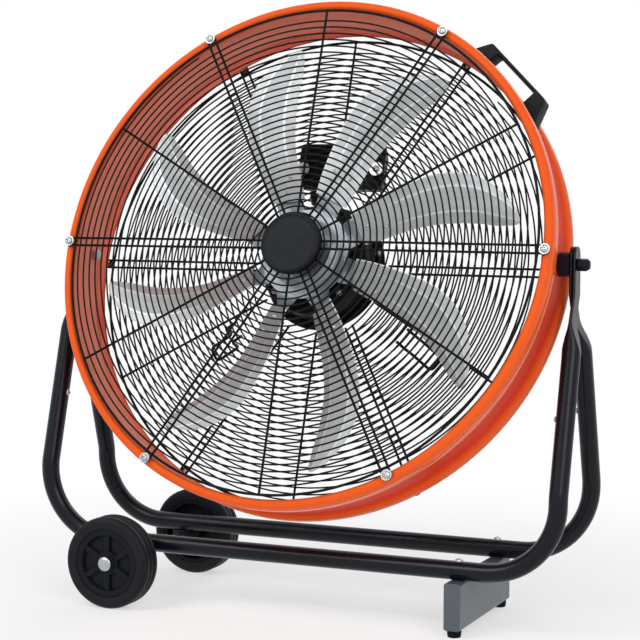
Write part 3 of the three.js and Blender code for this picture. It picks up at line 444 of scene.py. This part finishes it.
def on_blade(radius, along, out, twist=1.0):
    """A point of a blade: its distance from the axle, along its width and before its plane."""
    share = max((radius - blade_root) / (blade_tip - blade_root), 0)
    pitch = math.radians(root_pitch + untwist * share) * twist
    turn = math.radians(lead * share - sweep * share ** 2 - tip_sweep * share ** 3)
    side = along * math.cos(pitch) + out * math.sin(pitch)
    return Vector((
        radius * math.cos(turn) - side * math.sin(turn),
        rotor_plane + along * math.sin(pitch) - out * math.cos(pitch),
        radius * math.sin(turn) + side * math.cos(turn)))


def smooth(share):
    share = min(max(share, 0), 1)
    return share * share * (3 - 2 * share)


def turned_by(degrees):
    return Matrix.Rotation(-math.radians(degrees), 4, "Y")


rolled = Finish("rolled_sheet", Metallic=0.8)
brushed = rolled.noise(14.0, 4.0, (1.0, 9.0, 9.0))
# Along its two creases the sheet is painted almost white and made smoother: a painted highlight
# where the creases catch the light.
painted_crease_highlight = rolled.node("ShaderNodeAttribute", {"attribute_name": "crease"}, [], 2)
sheet_tone = rolled.blend(brushed, shade(176, 180, 182), shade(212, 216, 217))
rolled.set(
    Base_Color=rolled.blend(painted_crease_highlight, sheet_tone, shade(246, 247, 248)),
    Roughness=0.36 + 0.2 * rolled.noise(70.0, 4.0) - 0.12 * painted_crease_highlight)
rolled.bumps(brushed, 0.06, 0.0006)

for k in range(8):
    place = in_drum @ turned_by(first_blade + 45 * k)
    blade = bmesh.new()
    bmesh.ops.create_grid(blade, x_segments=44, y_segments=40, size=0.5)
    crease_highlight_layer = blade.verts.layers.float.new("crease")
    for spot in blade.verts:
        share, across = 1 - (0.5 - spot.co.x) ** 1.5, spot.co.y
        radius = blade_root + (blade_tip - blade_root) * share
        width = chord(share)
        # The crease layer marks the painted highlight along each crease, fading in a little way
        # out from the root.
        near_crease = max(0, 1 - abs(abs(across) - crease_at) / 0.03)
        spot[crease_highlight_layer] = smooth((radius - 105) / 40) * near_crease
        crease = (crease_height * smooth((radius - 120) / 50) * width / blade_width
                  * min((0.5 - abs(across)) / crease_at, 1))
        spot.co = on_blade(radius, across * width, crease - blade_sheet / 2)
    bmesh.ops.solidify(blade, geom=blade.faces, thickness=blade_sheet)
    fit(f"blade_sheet_{k + 1}", blade, place, rolled, "rotor", [f"blade_{k + 1}"], sharp=9)
    rivets = bmesh.new()
    for radius, along in ((85, 0), (105.5, 11), (105.5, -11)):
        made = bmesh.ops.create_uvsphere(rivets, u_segments=16, v_segments=8, radius=2.9)["verts"]
        bmesh.ops.scale(rivets, vec=(1, 0.45, 1), verts=made)
        tip_over = Matrix.Rotation(math.radians(-33), 3, "X")
        bmesh.ops.rotate(rivets, cent=(0, 0, 0), matrix=tip_over, verts=made)
        bmesh.ops.translate(rivets, vec=on_blade(radius, along, 0.8), verts=made)
    fastener(f"blade_rivets_{k + 1}", rivets, place, "rotor")


# The hub is a dished steel pressing on the motor's shaft with eight twisted arms, and a nut
# holds it on. Inside the drum it shows through the wires as a grey disc behind the cap.
def soften(mesh, width, segments=2, angle=30, edges=None):
    """Rounds the edges that turn by more than the angle."""
    chosen = [e for e in (edges or mesh.edges) if e.calc_face_angle(0) > math.radians(angle)]
    bmesh.ops.bevel(mesh, geom=chosen, offset=width, offset_type="OFFSET", affect="EDGES",
                    segments=segments, profile=0.5, material=-1)


def swing(mesh, verts, degrees, axis="Y"):
    """Turns some vertices round an axis through the origin."""
    turn = Matrix.Rotation(math.radians(degrees), 3, axis)
    bmesh.ops.rotate(mesh, cent=(0, 0, 0), matrix=turn, verts=verts)


def hexagon(radius, start, depth, softness):
    """A six sided nut along y, from its start to its depth."""
    mesh = bmesh.new()
    bmesh.ops.create_cone(
        mesh, cap_ends=True, segments=6, radius1=radius, radius2=radius, depth=depth)
    soften(mesh, softness, 3, 50)
    swing(mesh, mesh.verts, 90, "X")
    bmesh.ops.translate(mesh, vec=(0, start + depth / 2, 0), verts=mesh.verts)
    return mesh


hub_paint = Finish("hub_steel", Metallic=0.85)
hub_paint.set(
    Base_Color=hub_paint.blend(
        hub_paint.noise(60.0, 4.0), shade(136, 146, 152), shade(170, 178, 183)),
    Roughness=0.36 + 0.2 * hub_paint.noise(110.0, 3.0))
hub_paint.bumps(hub_paint.noise(600.0, 3.0), 0.08, 0.0005)
hub = spun([
    (6.4, -15.0), (17.0, -15.0), (17.0, -28.5), (33.0, -28.5), (35.5, -28.0), (38.5, -25.5),
    (42.5, -22.2), (45.5, -21.5), (56.0, -21.5), (56.0, -23.9), (45.0, -23.9), (42.0, -24.4),
    (37.5, -28.0), (34.5, -30.3), (32.0, -30.9), (6.4, -30.9)], 72, True)
arm_start, arm_end, arm_width, arm_depth = 46, 114, 30, -2.3 - 0.6
for k in range(8):
    arm = bmesh.ops.create_grid(hub, x_segments=14, y_segments=2, size=0.5)["verts"]
    for spot in arm:
        radius = arm_start + (arm_end - arm_start) * (spot.co.x + 0.5)
        twist = smooth((radius - 50) / 20)
        spot.co = on_blade(radius, spot.co.y * arm_width, arm_depth, twist)
        spot.co = turned_by(first_blade + 45 * k).to_3x3() @ spot.co
    faces = list({face for spot in arm for face in spot.link_faces})
    bmesh.ops.solidify(hub, geom=faces, thickness=2.0)
fit("hub_pressing", hub, in_drum, hub_paint, "rotor", ["hub_spider"], sharp=30)
nut = hexagon(9.4, -38.6, 7.2, 0.9)
fit("hub_dome_nut", nut, in_drum, zinc, "rotor", ["hub_nut"])
shaft = spun([
    (0.0, -31.35), (5.4, -31.35), (6.0, -30.75), (6.0, 40.1), (5.4, 40.7), (0.0, 40.7)], 48)
fit("hub_shaft", shaft, in_drum, zinc, "rotor", ["motor_shaft"])


# The motor is a black painted pair of bells with four through bolts, bolted by its rear flange
# to the ring plate of the rear guard. Its shaft carries the hub.
painted = Finish("motor_black", Metallic=0.0, Specular_IOR_Level=0.1)
painted.set(
    Base_Color=painted.blend(painted.noise(50.0, 3.0), shade(12, 13, 14), shade(20, 21, 22)),
    Roughness=0.42 + 0.18 * painted.noise(120.0, 3.0))
painted.bumps(painted.noise(500.0, 3.0), 0.12, 0.0006)


def block(mesh, size, centre):
    """Adds a box and gives back its vertices."""
    made = bmesh.ops.create_cube(mesh, size=1.0)["verts"]
    bmesh.ops.scale(mesh, vec=size, verts=made)
    bmesh.ops.translate(mesh, vec=centre, verts=made)
    return made


front_bell = spun([
    (6.4, -11.0), (19.0, -11.0), (21.0, -10.4), (21.9, -9.0), (22.0, -6.0), (59.0, -6.0),
    (63.5, -5.2), (66.8, -3.0), (68.6, 0.0), (69.0, 3.5), (69.0, 14.5), (68.2, 15.2),
    (68.2, 16.7), (6.4, 16.7)], 96, True)
fit("motor_front_half", front_bell, in_drum, painted, "drum", ["motor_front_bell"])
rear_bell = spun([
    (0.0, 41.0), (6.4, 41.0), (6.4, 17.0), (68.2, 17.0), (68.2, 18.2), (69.0, 19.0),
    (69.0, 34.8), (75.6, 34.8), (76.0, 35.2), (76.0, 37.4), (75.6, 37.8), (69.0, 37.8),
    (69.0, 46.5), (68.6, 50.0), (66.8, 52.4), (63.5, 54.2), (59.0, 54.6), (24.0, 54.6),
    (22.5, 55.2), (21.0, 56.0), (0.0, 56.0)], 96)
for k in range(12):
    swing(rear_bell, block(rear_bell, (34, 1.4, 2.4), (42, 55.2, 0)), 30 * k)
fit("motor_rear_half", rear_bell, in_drum, painted, "drum", ["motor_rear_bell"])
for k in range(4):
    spot = Matrix.Translation(around(60.5, 45 + 90 * k, -6.0)) @ Matrix.Scale(0.8, 4)
    fastener(f"motor_bolt_{k + 1}", pan_screw(4.4, 2.8, 5.4, 0.8), in_drum @ spot)
    spot = Matrix.Translation(around(73.0, 15 + 90 * k, 34.8)) @ Matrix.Scale(0.75, 4)
    fastener(f"flange_bolt_{k + 1}", pan_screw(3.8, 2.6, 4.8, 0.8), in_drum @ spot)


# The control box is a moulded case with a lid, clamped on the rear guard by two screws with big
# washers. On its back are a rotary switch knob and four screws, and under it the cord's gland.
box_front, box_back, box_height = 44.53, 74.52, 136.0
box_middle = Matrix.Translation((0, 0, -box_height))
for name, near, far, draft in (
        ("control_box_case", box_front, box_back - 7, 0.90),
        ("control_box_lid", box_back - 6.4, box_back, 0.96)):
    case = bmesh.new()
    shown = block(case, (118, far - near, 61), (0, (near + far) / 2, box_height))
    if name == "control_box_lid":
        bmesh.ops.scale(case, vec=(0.90, 1, 0.86), space=box_middle, verts=shown)
    back = [spot for spot in case.verts if spot.co.y > far - 0.01]
    bmesh.ops.scale(case, vec=(draft, 1, draft - 0.04), space=box_middle, verts=back)
    long_edges = [e for e in case.edges if abs((e.verts[0].co - e.verts[1].co).y) > 1]
    soften(case, 8, 8, edges=long_edges)
    outer = near if name == "control_box_case" else far
    rim = [e for e in case.edges if abs(e.verts[0].co.y - e.verts[1].co.y) < 0.01
           and abs(e.verts[0].co.y - outer) < 0.01]
    soften(case, 1.8, 3, edges=rim)
    fit(name, case, in_drum, moulded, "drum", ["control_box"])
collar = bmesh.new()
block(collar, (98, 2, 46), (0, box_back - 6.7, box_height))
fit("control_box_seal", collar, in_drum, moulded, "drum", ["control_box"])
for k, (side, rise) in enumerate(((-43, -17), (-43, 17), (43, -17), (43, 17))):
    spot = Matrix.Translation((side, box_back - 1.2, box_height + rise)) @ turned_back
    fastener(f"lid_screw_{k + 1}", pan_screw(3.0, 2.0, 3.4, 0.4), in_drum @ spot)
for k, side in enumerate((-50, 50)):
    spot = Matrix.Translation((side, 41.2, 131.0))
    fastener(f"box_clamp_screw_{k + 1}", pan_screw(4.4, 3.0, 9.0, 1.5), in_drum @ spot)
dial = bmesh.new()
for k in range(4):
    swing(dial, block(dial, (1.2, 0.5, 3.0), (0, 0, 20.0)), -45 * k)
on_lid = in_drum @ Matrix.Translation((0, box_back - 0.2, box_height))
fit("dial_ticks", dial, on_lid, moulded, "drum")
knob = spun([
    (0.0, -7.5), (3.0, -7.5), (3.0, 0.3), (16.6, 0.3), (17.0, 0.7), (16.9, 3.2), (16.2, 4.6),
    (14.8, 5.0), (0.0, 5.0)], 64)
grip = block(knob, (8, 13, 29), (0, 10.4, 0))
soften(knob, 1.8, 4, edges=list({edge for spot in grip for edge in spot.link_edges}))
for k in range(24):
    swing(knob, block(knob, (1.0, 3.0, 0.8), (16.75, 2.0, 0)), 15 * k)
knob_place = in_drum @ Matrix.Translation((0, box_back, box_height))
fit("switch_knob", knob, knob_place, moulded, "knob", ["speed_knob"])
gland = spun([
    (4.0, 0.0), (9.0, 0.0), (9.0, 1.2), (8.2, 1.6), (8.2, 6.0), (8.9, 6.5), (8.9, 7.2),
    (7.2, 7.2), (7.0, 9.0), (6.9, 12.0), (6.2, 14.4), (5.5, 16.0), (4.0, 16.0)], 48, True)
for k in range(6):
    swing(gland, block(gland, (1.2, 4.2, 3.0), (8.3, 3.8, 0)), 60 * k)
downward = Matrix.Rotation(math.radians(-90), 4, "X")
under = Matrix.Translation((-34, 59.5, box_height - 30.8)) @ downward
fit("cord_gland", gland, in_drum @ under, moulded, "drum", ["cable_gland"])


# Two hooks of the same coated wire are welded across the rear guard, low down on either side.
def bent(corners, radii, steps):
    """A route along straight lines between corners, with an arc of its own radius at each."""
    corners = [Vector(corner) for corner in corners]
    route = [corners[0]]
    for back, corner, ahead, radius in zip(corners, corners[1:], corners[2:], radii):
        before, after = (back - corner).normalized(), (ahead - corner).normalized()
        half = before.angle(after) / 2
        centre = corner + (before + after).normalized() * radius / math.sin(half)
        start = corner + before * radius / math.tan(half) - centre
        end = corner + after * radius / math.tan(half) - centre
        axis = start.cross(end).normalized()
        for n in range(steps + 1):
            route.append(centre + Matrix.Rotation(start.angle(end) * n / steps, 3, axis) @ start)
    return route + [corners[-1]]


hook_near, hook_far, hook_from, hook_bend, hook_end, hook_half = 46.5, 68.5, 136, 152, 186, 10
for name, turn in (("right", 36), ("left", 144)):
    leg = [(hook_from, hook_near), (hook_bend, hook_near), (hook_bend, hook_far),
           (hook_end, hook_far)]
    corners = [(x, y, -hook_half) for x, y in leg] + [(x, y, hook_half) for x, y in leg[::-1]]
    place = in_drum @ Matrix.Rotation(math.radians(turn), 4, "Y")
    wire(f"hook_wire_{name}", [bent(corners, [6] * 6, 6)], 1.9, 12, place, coated, "drum",
         [f"cord_hook_{name}"])


# The carrying handle is one moulded strap with a straight grip and two wedge shaped legs, which
# stand on the drum's waist at the upper right.
def prism(points, near, far):
    """A flat outline of [x, z] points given its depth along y."""
    mesh = bmesh.new()
    face = mesh.faces.new([mesh.verts.new((x, near, z)) for x, z in points])
    made = bmesh.ops.extrude_face_region(mesh, geom=[face])["geom"]
    moved = [part for part in made if isinstance(part, bmesh.types.BMVert)]
    bmesh.ops.translate(mesh, vec=(0, far - near, 0), verts=moved)
    bmesh.ops.recalc_face_normals(mesh, faces=mesh.faces)
    return mesh


wall_radius = 311.3
half = [(49.0, 335.8), (51.0, 335.4), (52.6, 334.3), (53.5, 332.8)]
half += [(x, math.sqrt(wall_radius ** 2 - x ** 2)) for x in (68.0, 60.0, 52.0, 44.0, 36.4)]
half += [(36.0, 329.0), (35.2, 330.6), (33.6, 331.3)]
strap = prism(half + [(-x, z) for x, z in reversed(half)], -9.0, 13.0)
side_edges = [e for e in strap.edges
              if abs(e.verts[0].co.y - e.verts[1].co.y) < 0.01 and e.verts[0].co.z > 314]
soften(strap, 1.6, 3, edges=side_edges)
fit("grip_handle", strap, in_drum @ turned_by(-45), moulded, "drum", ["carrying_handle"])


# The stand is 22 mm steel tube in black powder coat: two rails, each bent up at both ends, and
# above them four arms whose ends are pressed flat and cross at the pivots.
powder = Finish("black_powder_coat", Metallic=0.0, Specular_IOR_Level=0.2)
powder.set(
    Base_Color=powder.blend(powder.noise(20.0, 3.0), shade(9, 14, 22), shade(14, 19, 28)),
    Roughness=0.20 + 0.12 * powder.noise(90.0, 3.0))
powder.bumps(powder.noise(800.0, 3.0), 0.16, 0.0004)
tube, rail_height, rail_depth, rail_end, sleeve, joint_gap = 11.0, 74.7, 70, 333, 270.0, 0.15
lean_from, tongue_from, tongue_depth = 166.0, 366.0, 12.3
lean = (rail_depth - tongue_depth) / (tongue_from - lean_from)


def depth_at(height):
    """How far the leaning arms are from the middle plane at a height."""
    return rail_depth - lean * (height - lean_from)


for name, side in (("front", -1), ("rear", 1)):
    top = sleeve - joint_gap
    climb = [(depth_at(top), top), (rail_depth, lean_from), (rail_depth, rail_height)]
    corners = [(-rail_end, side * y, z) for y, z in climb]
    corners += [(rail_end, side * y, z) for y, z in climb[::-1]]
    rail = bent(corners, [40, 85, 85, 40], 18)
    wire(f"rail_{name}", [rail], tube, 32, in_floor, powder, "stand", [f"lower_tube_{name}"])


def lofted(rings):
    """A skin over rings of the same number of points, closed at both ends."""
    mesh = bmesh.new()
    rows = [[mesh.verts.new(point) for point in ring] for ring in rings]
    for lower, upper in zip(rows, rows[1:]):
        for k in range(len(lower)):
            mesh.faces.new((lower[k - 1], lower[k], upper[k], upper[k - 1]))
    mesh.faces.new(rows[0])
    mesh.faces.new(rows[-1])
    return mesh


# Each station of an arm is its height, depth, x, half width, how flat and how leaning it is.
tongue_half, tongue_thick, tongue_top, tongue_middle = 12, 1.8, 436, 392
press_from, press_length, least_depth = 322, 44, 12.15
for end, end_name in ((1, "right"), (-1, "left")):
    for side, side_name in ((-1, "front"), (1, "rear")):
        tongue_x = 325.4 + (5.7 if side < 0 else 1.8)
        stations = [(sleeve + joint_gap, depth_at(sleeve), rail_end, tube, 0, 1)]
        for n in range(11):
            height = press_from + press_length * n / 10
            flat = smooth(n / 10)
            x = rail_end + (tongue_x - rail_end) * flat
            depth = max(depth_at(height), least_depth)
            stations.append((height, depth, x, tube + flat, flat, 1 - n / 10))
        stations.append((tongue_middle, 0, tongue_x, tongue_half, 1, 0))
        for n in range(9):
            turn = math.radians(10 * n + 4)
            stations.append((tongue_top + tongue_half * math.sin(turn), 0, tongue_x,
                             tongue_half * math.cos(turn), 1, 0))
        rings = []
        for height, depth, x, width, flat, leaning in stations:
            tilt = side * leaning * math.atan(lean)
            thick = tube + (tongue_thick - tube) * flat
            ring = []
            for n in range(32):
                turn = 2 * math.pi * (n + 0.5) / 32
                out = min(max((1 + 1.2 * flat) * math.cos(turn), -1), 1)
                ring.append((end * (x + thick * out),
                             side * depth + width * math.sin(turn) * math.cos(tilt),
                             height + width * math.sin(turn) * math.sin(tilt)))
            rings.append(ring)
        fit(f"arm_{end_name}_{side_name}", lofted(rings), in_floor, powder, "stand",
            [f"upper_tube_{end_name}_{side_name}"], sharp=50)


# Each pivot is a bolt from inside the drum, a thick plastic spacer against the drum's waist and,
# outside the two tongues, a black capped nut.
def add(mesh, other, place):
    """Moves another bmesh to its place and makes it part of this one."""
    other.transform(place)
    data = bpy.data.meshes.new("part")
    other.to_mesh(data)
    other.free()
    mesh.from_mesh(data)
    bpy.data.meshes.remove(data)


for name, flip in (("right", 0), ("left", math.pi)):
    outward = Matrix.Rotation(math.radians(-90), 4, "Z")
    place = in_drum @ Matrix.Rotation(flip, 4, "Y") @ outward
    spacer = spun([
        (4.4, wall_radius), (13.2, wall_radius), (14.0, wall_radius + 0.8), (14.0, 324.3),
        (13.2, 325.1), (4.4, 325.1)], 64, True)
    fit(f"spacer_{name}", spacer, place, moulded, "drum", [f"pivot_spacer_{name}"])
    capped = hexagon(7.7, 333.2, 11.0, 0.8)
    dome = spun([
        (0.0, 344.0), (6.2, 344.0), (5.9, 345.6), (4.8, 346.7), (3.0, 347.1), (0.0, 347.2)], 32)
    add(capped, dome, Matrix.Identity(4))
    fit(f"cap_nut_{name}", capped, place, moulded, "drum", [f"pivot_cap_{name}"])
    bolt = hexagon(7.0, 301.9, 6.0, 0.7)
    shank = bmesh.ops.create_cone(
        bolt, cap_ends=True, segments=24, radius1=4, radius2=4, depth=34)["verts"]
    swing(bolt, shank, 90, "X")
    bmesh.ops.translate(bolt, vec=(0, 321, 0), verts=shank)
    fit(f"pivot_screw_{name}", bolt, place, zinc, "drum", [f"pivot_bolt_{name}"])


# Two wheels on one axle carry the left end. Each has a grooved rubber tyre on a moulded hub with
# six pockets. Flat brackets hang the axle under the rails, and pressed caps keep the wheels on.
rubber = Finish("tyre_rubber", Metallic=0.0, Specular_IOR_Level=0.2)
rubber.set(
    Base_Color=rubber.blend(rubber.noise(35.0, 4.0), shade(10, 13, 19), shade(20, 24, 31)),
    Roughness=0.48 + 0.2 * rubber.noise(90.0, 3.0))
rubber.bumps(rubber.noise(700.0, 3.0), 0.25, 0.0005)
axle_x, axle_height, wheel_middle, axle_end = -219.3, 56.4, 112.7, 130.7
tread = [(42.0, -15.5), (44.5, -16.0), (47.0, -16.3), (50.0, -16.5), (52.6, -16.1),
         (54.4, -15.0), (55.5, -13.4), (56.1, -11.5)]
for start in (-11.5, -2.9, 5.7):
    tread += [(56.4, start + 0.4), (56.4, start + 5.4), (56.0, start + 5.8)]
    if start < 5:
        tread += [(54.9, start + 6.2), (54.9, start + 8.0), (56.0, start + 8.4)]
tread += [(55.5, 13.4), (54.4, 15.0), (52.6, 16.1), (50.0, 16.5), (47.0, 16.3), (44.5, 16.0),
          (42.0, 15.5)]
wheel_rim = [
    (33.6, -13.4), (34.4, -14.6), (36.0, -15.0), (41.2, -15.0), (41.7, -14.5), (41.7, 14.5),
    (41.2, 15.0), (37.8, 15.0), (37.4, 14.6), (37.4, -7.5), (11.0, -7.5), (11.0, 16.0),
    (10.4, 16.5), (5.4, 16.5), (5.4, -16.5), (10.2, -16.5), (11.0, -15.8), (11.4, -13.6),
    (14.6, -13.4), (14.9, -9.5), (33.2, -9.5)]
for name, side in (("front", -1), ("rear", 1)):
    facing = Matrix.Identity(4) if side < 0 else turned_back
    centre = in_floor @ Matrix.Translation((axle_x, side * wheel_middle, axle_height)) @ facing
    fit(f"tyre_rubber_{name}", spun(tread, 96, True), centre, rubber, f"{name}_wheel",
        [f"tyre_{name}"])
    hub = spun(wheel_rim, 96, True)
    for k in range(6):
        rib = bmesh.new()
        block(rib, (21, 4.4, 7), (24.2, -11.3, 0))
        soften(rib, 0.8)
        add(hub, rib, turned_by(60 * k + 30))
    fit(f"wheel_centre_{name}", hub, centre, moulded, f"{name}_wheel", [f"wheel_hub_{name}"])
    cap = spun([
        (0.0, 0.3), (8.0, 0.3), (8.7, 0.7), (8.7, 1.6), (7.8, 2.5), (5.7, 3.3), (3.0, 3.7),
        (0.0, 3.8)], 32)
    cap_facing = turned_back if side < 0 else Matrix.Identity(4)
    cap_place = in_floor @ Matrix.Translation((axle_x, side * axle_end, axle_height)) @ cap_facing
    fit(f"push_cap_{name}", cap, cap_place, zinc, "stand", [f"axle_cap_{name}"])
    plate_line = [(14.0, 7.0), (-14.0, 7.0)]
    for a in range(180, 361, 12):
        plate_line.append((12 * math.cos(math.radians(a)), 12 * math.sin(math.radians(a))))
    plate = prism(plate_line, -2.0, 2.0)
    soften(plate, 0.5, 2, 50)
    plate_place = in_floor @ Matrix.Translation((axle_x, side * rail_depth, axle_height))
    fit(f"bracket_{name}", plate, plate_place, powder, "stand", [f"axle_bracket_{name}"])
axle = spun([
    (0.0, -axle_end), (5.0, -axle_end), (5.0, -95.9), (6.9, -95.9), (6.9, -72.3), (5.0, -72.3),
    (5.0, 72.3), (6.9, 72.3), (6.9, 95.9), (5.0, 95.9), (5.0, axle_end), (0.0, axle_end)], 32)
axle_place = in_floor @ Matrix.Translation((axle_x, 0, axle_height))
fit("axle_rod", axle, axle_place, zinc, "stand", ["wheel_axle"])


# The foot bar is a folded box under both rails at the right end. Screws through the rails hold
# it, and it stands on two turned rubber feet.
satin = Finish("satin_bar_coat", Metallic=0.0, Specular_IOR_Level=0.5)
satin.set(
    Base_Color=satin.blend(satin.noise(16.0, 4.0), shade(70, 77, 86), shade(84, 92, 102)),
    Roughness=0.34 + 0.14 * satin.noise(120.0, 3.0))
satin.bumps(satin.noise(900.0, 3.0), 0.14, 0.0004)
foot_rubber = Finish("foot_rubber", Metallic=0.0, Specular_IOR_Level=0.1)
foot_rubber.set(
    Base_Color=foot_rubber.blend(
        foot_rubber.noise(60.0, 4.0), shade(11, 12, 13), shade(19, 20, 21)),
    Roughness=0.7 + 0.15 * foot_rubber.noise(140.0, 3.0))
foot_rubber.bumps(foot_rubber.noise(900.0, 3.0), 0.25, 0.0004)
bar_x, foot_depth, rail_screw_x, arm_screw_height, sunk = 215, 83, 216, 253, 0.3
bar = bmesh.new()
block(bar, (20, 184, 55.1), (bar_x, 0, 35.85))
soften(bar, 3, 5, edges=[e for e in bar.edges if abs(e.verts[0].co.y - e.verts[1].co.y) > 1])
fit("foot_box", bar, in_floor, satin, "stand", ["foot_bar"])
upward = Matrix.Rotation(math.radians(90), 4, "X")
for name, side in (("front", -1), ("rear", 1)):
    foot = spun([
        (0.0, 0.0), (6.9, 0.0), (7.6, 0.4), (8.0, 2.2), (8.3, 5.0), (8.5, 7.4), (8.1, 8.0),
        (0.0, 8.0)], 40)
    foot_place = in_floor @ Matrix.Translation((bar_x, side * foot_depth, 0)) @ upward
    fit(f"foot_{name}", foot, foot_place, foot_rubber, "stand", [f"rubber_foot_{name}"])
    over_rail = Matrix.Translation((rail_screw_x, side * rail_depth, rail_height + tube - sunk))
    fastener(f"foot_bar_screw_{name}", pan_screw(4.6, 3.0, 5.4, 0.6),
             in_floor @ over_rail @ downward, "stand")
    for end, end_name in ((1, "right"), (-1, "left")):
        inward = Matrix.Rotation(math.radians(-90 * end), 4, "Z")
        on_arm = (end * (rail_end - tube + sunk), side * depth_at(arm_screw_height),
                  arm_screw_height)
        fastener(f"arm_screw_{end_name}_{name}", pan_screw(3.4, 2.2, 4.0, 0.5),
                 in_floor @ Matrix.Translation(on_arm) @ inward, "stand")


# The floor is plain and white. It keeps the fan's soft shadow near it, and is the white of the
# room farther away, so that no edge shows where they meet.
floor_finish = Finish(
    "white_floor", Roughness=0.9, Specular_IOR_Level=0.0, Base_Color=(0.98, 0.98, 0.98, 1.0))
tree = floor_finish.tree
rays = tree.nodes.new("ShaderNodeLightPath")
seen_by = [Value(floor_finish, rays.outputs[f"Is {kind} Ray"])
           for kind in ("Camera", "Glossy", "Transmission")]
reach = floor_finish.node("ShaderNodeVectorMath", {"operation": "LENGTH"}, [floor_finish.place])
away = floor_finish.between(reach, 0.35, 0.95)
glow = floor_finish.node("ShaderNodeEmission", {}, {"Color": white, "Strength": 1.0})
far_white = floor_finish.node("ShaderNodeMixShader", {}, {
    "Fac": (0.55 + 0.45 * away) * seen_by[0] + seen_by[1] + seen_by[2]})
tree.links.new(floor_finish.shader.outputs[0], far_white.socket.node.inputs[1])
tree.links.new(glow.socket, far_white.socket.node.inputs[2])
tree.links.new(far_white.socket, tree.nodes["Material Output"].inputs["Surface"])
floor_mesh = bmesh.new()
bmesh.ops.create_grid(floor_mesh, x_segments=1, y_segments=1, size=14.0)
floor_data = bpy.data.meshes.new("floor")
floor_mesh.to_mesh(floor_data)
floor_mesh.free()
floor_data.materials.append(floor_finish.material)
floor = bpy.data.objects.new("floor", floor_data)
bpy.context.scene.collection.objects.link(floor)
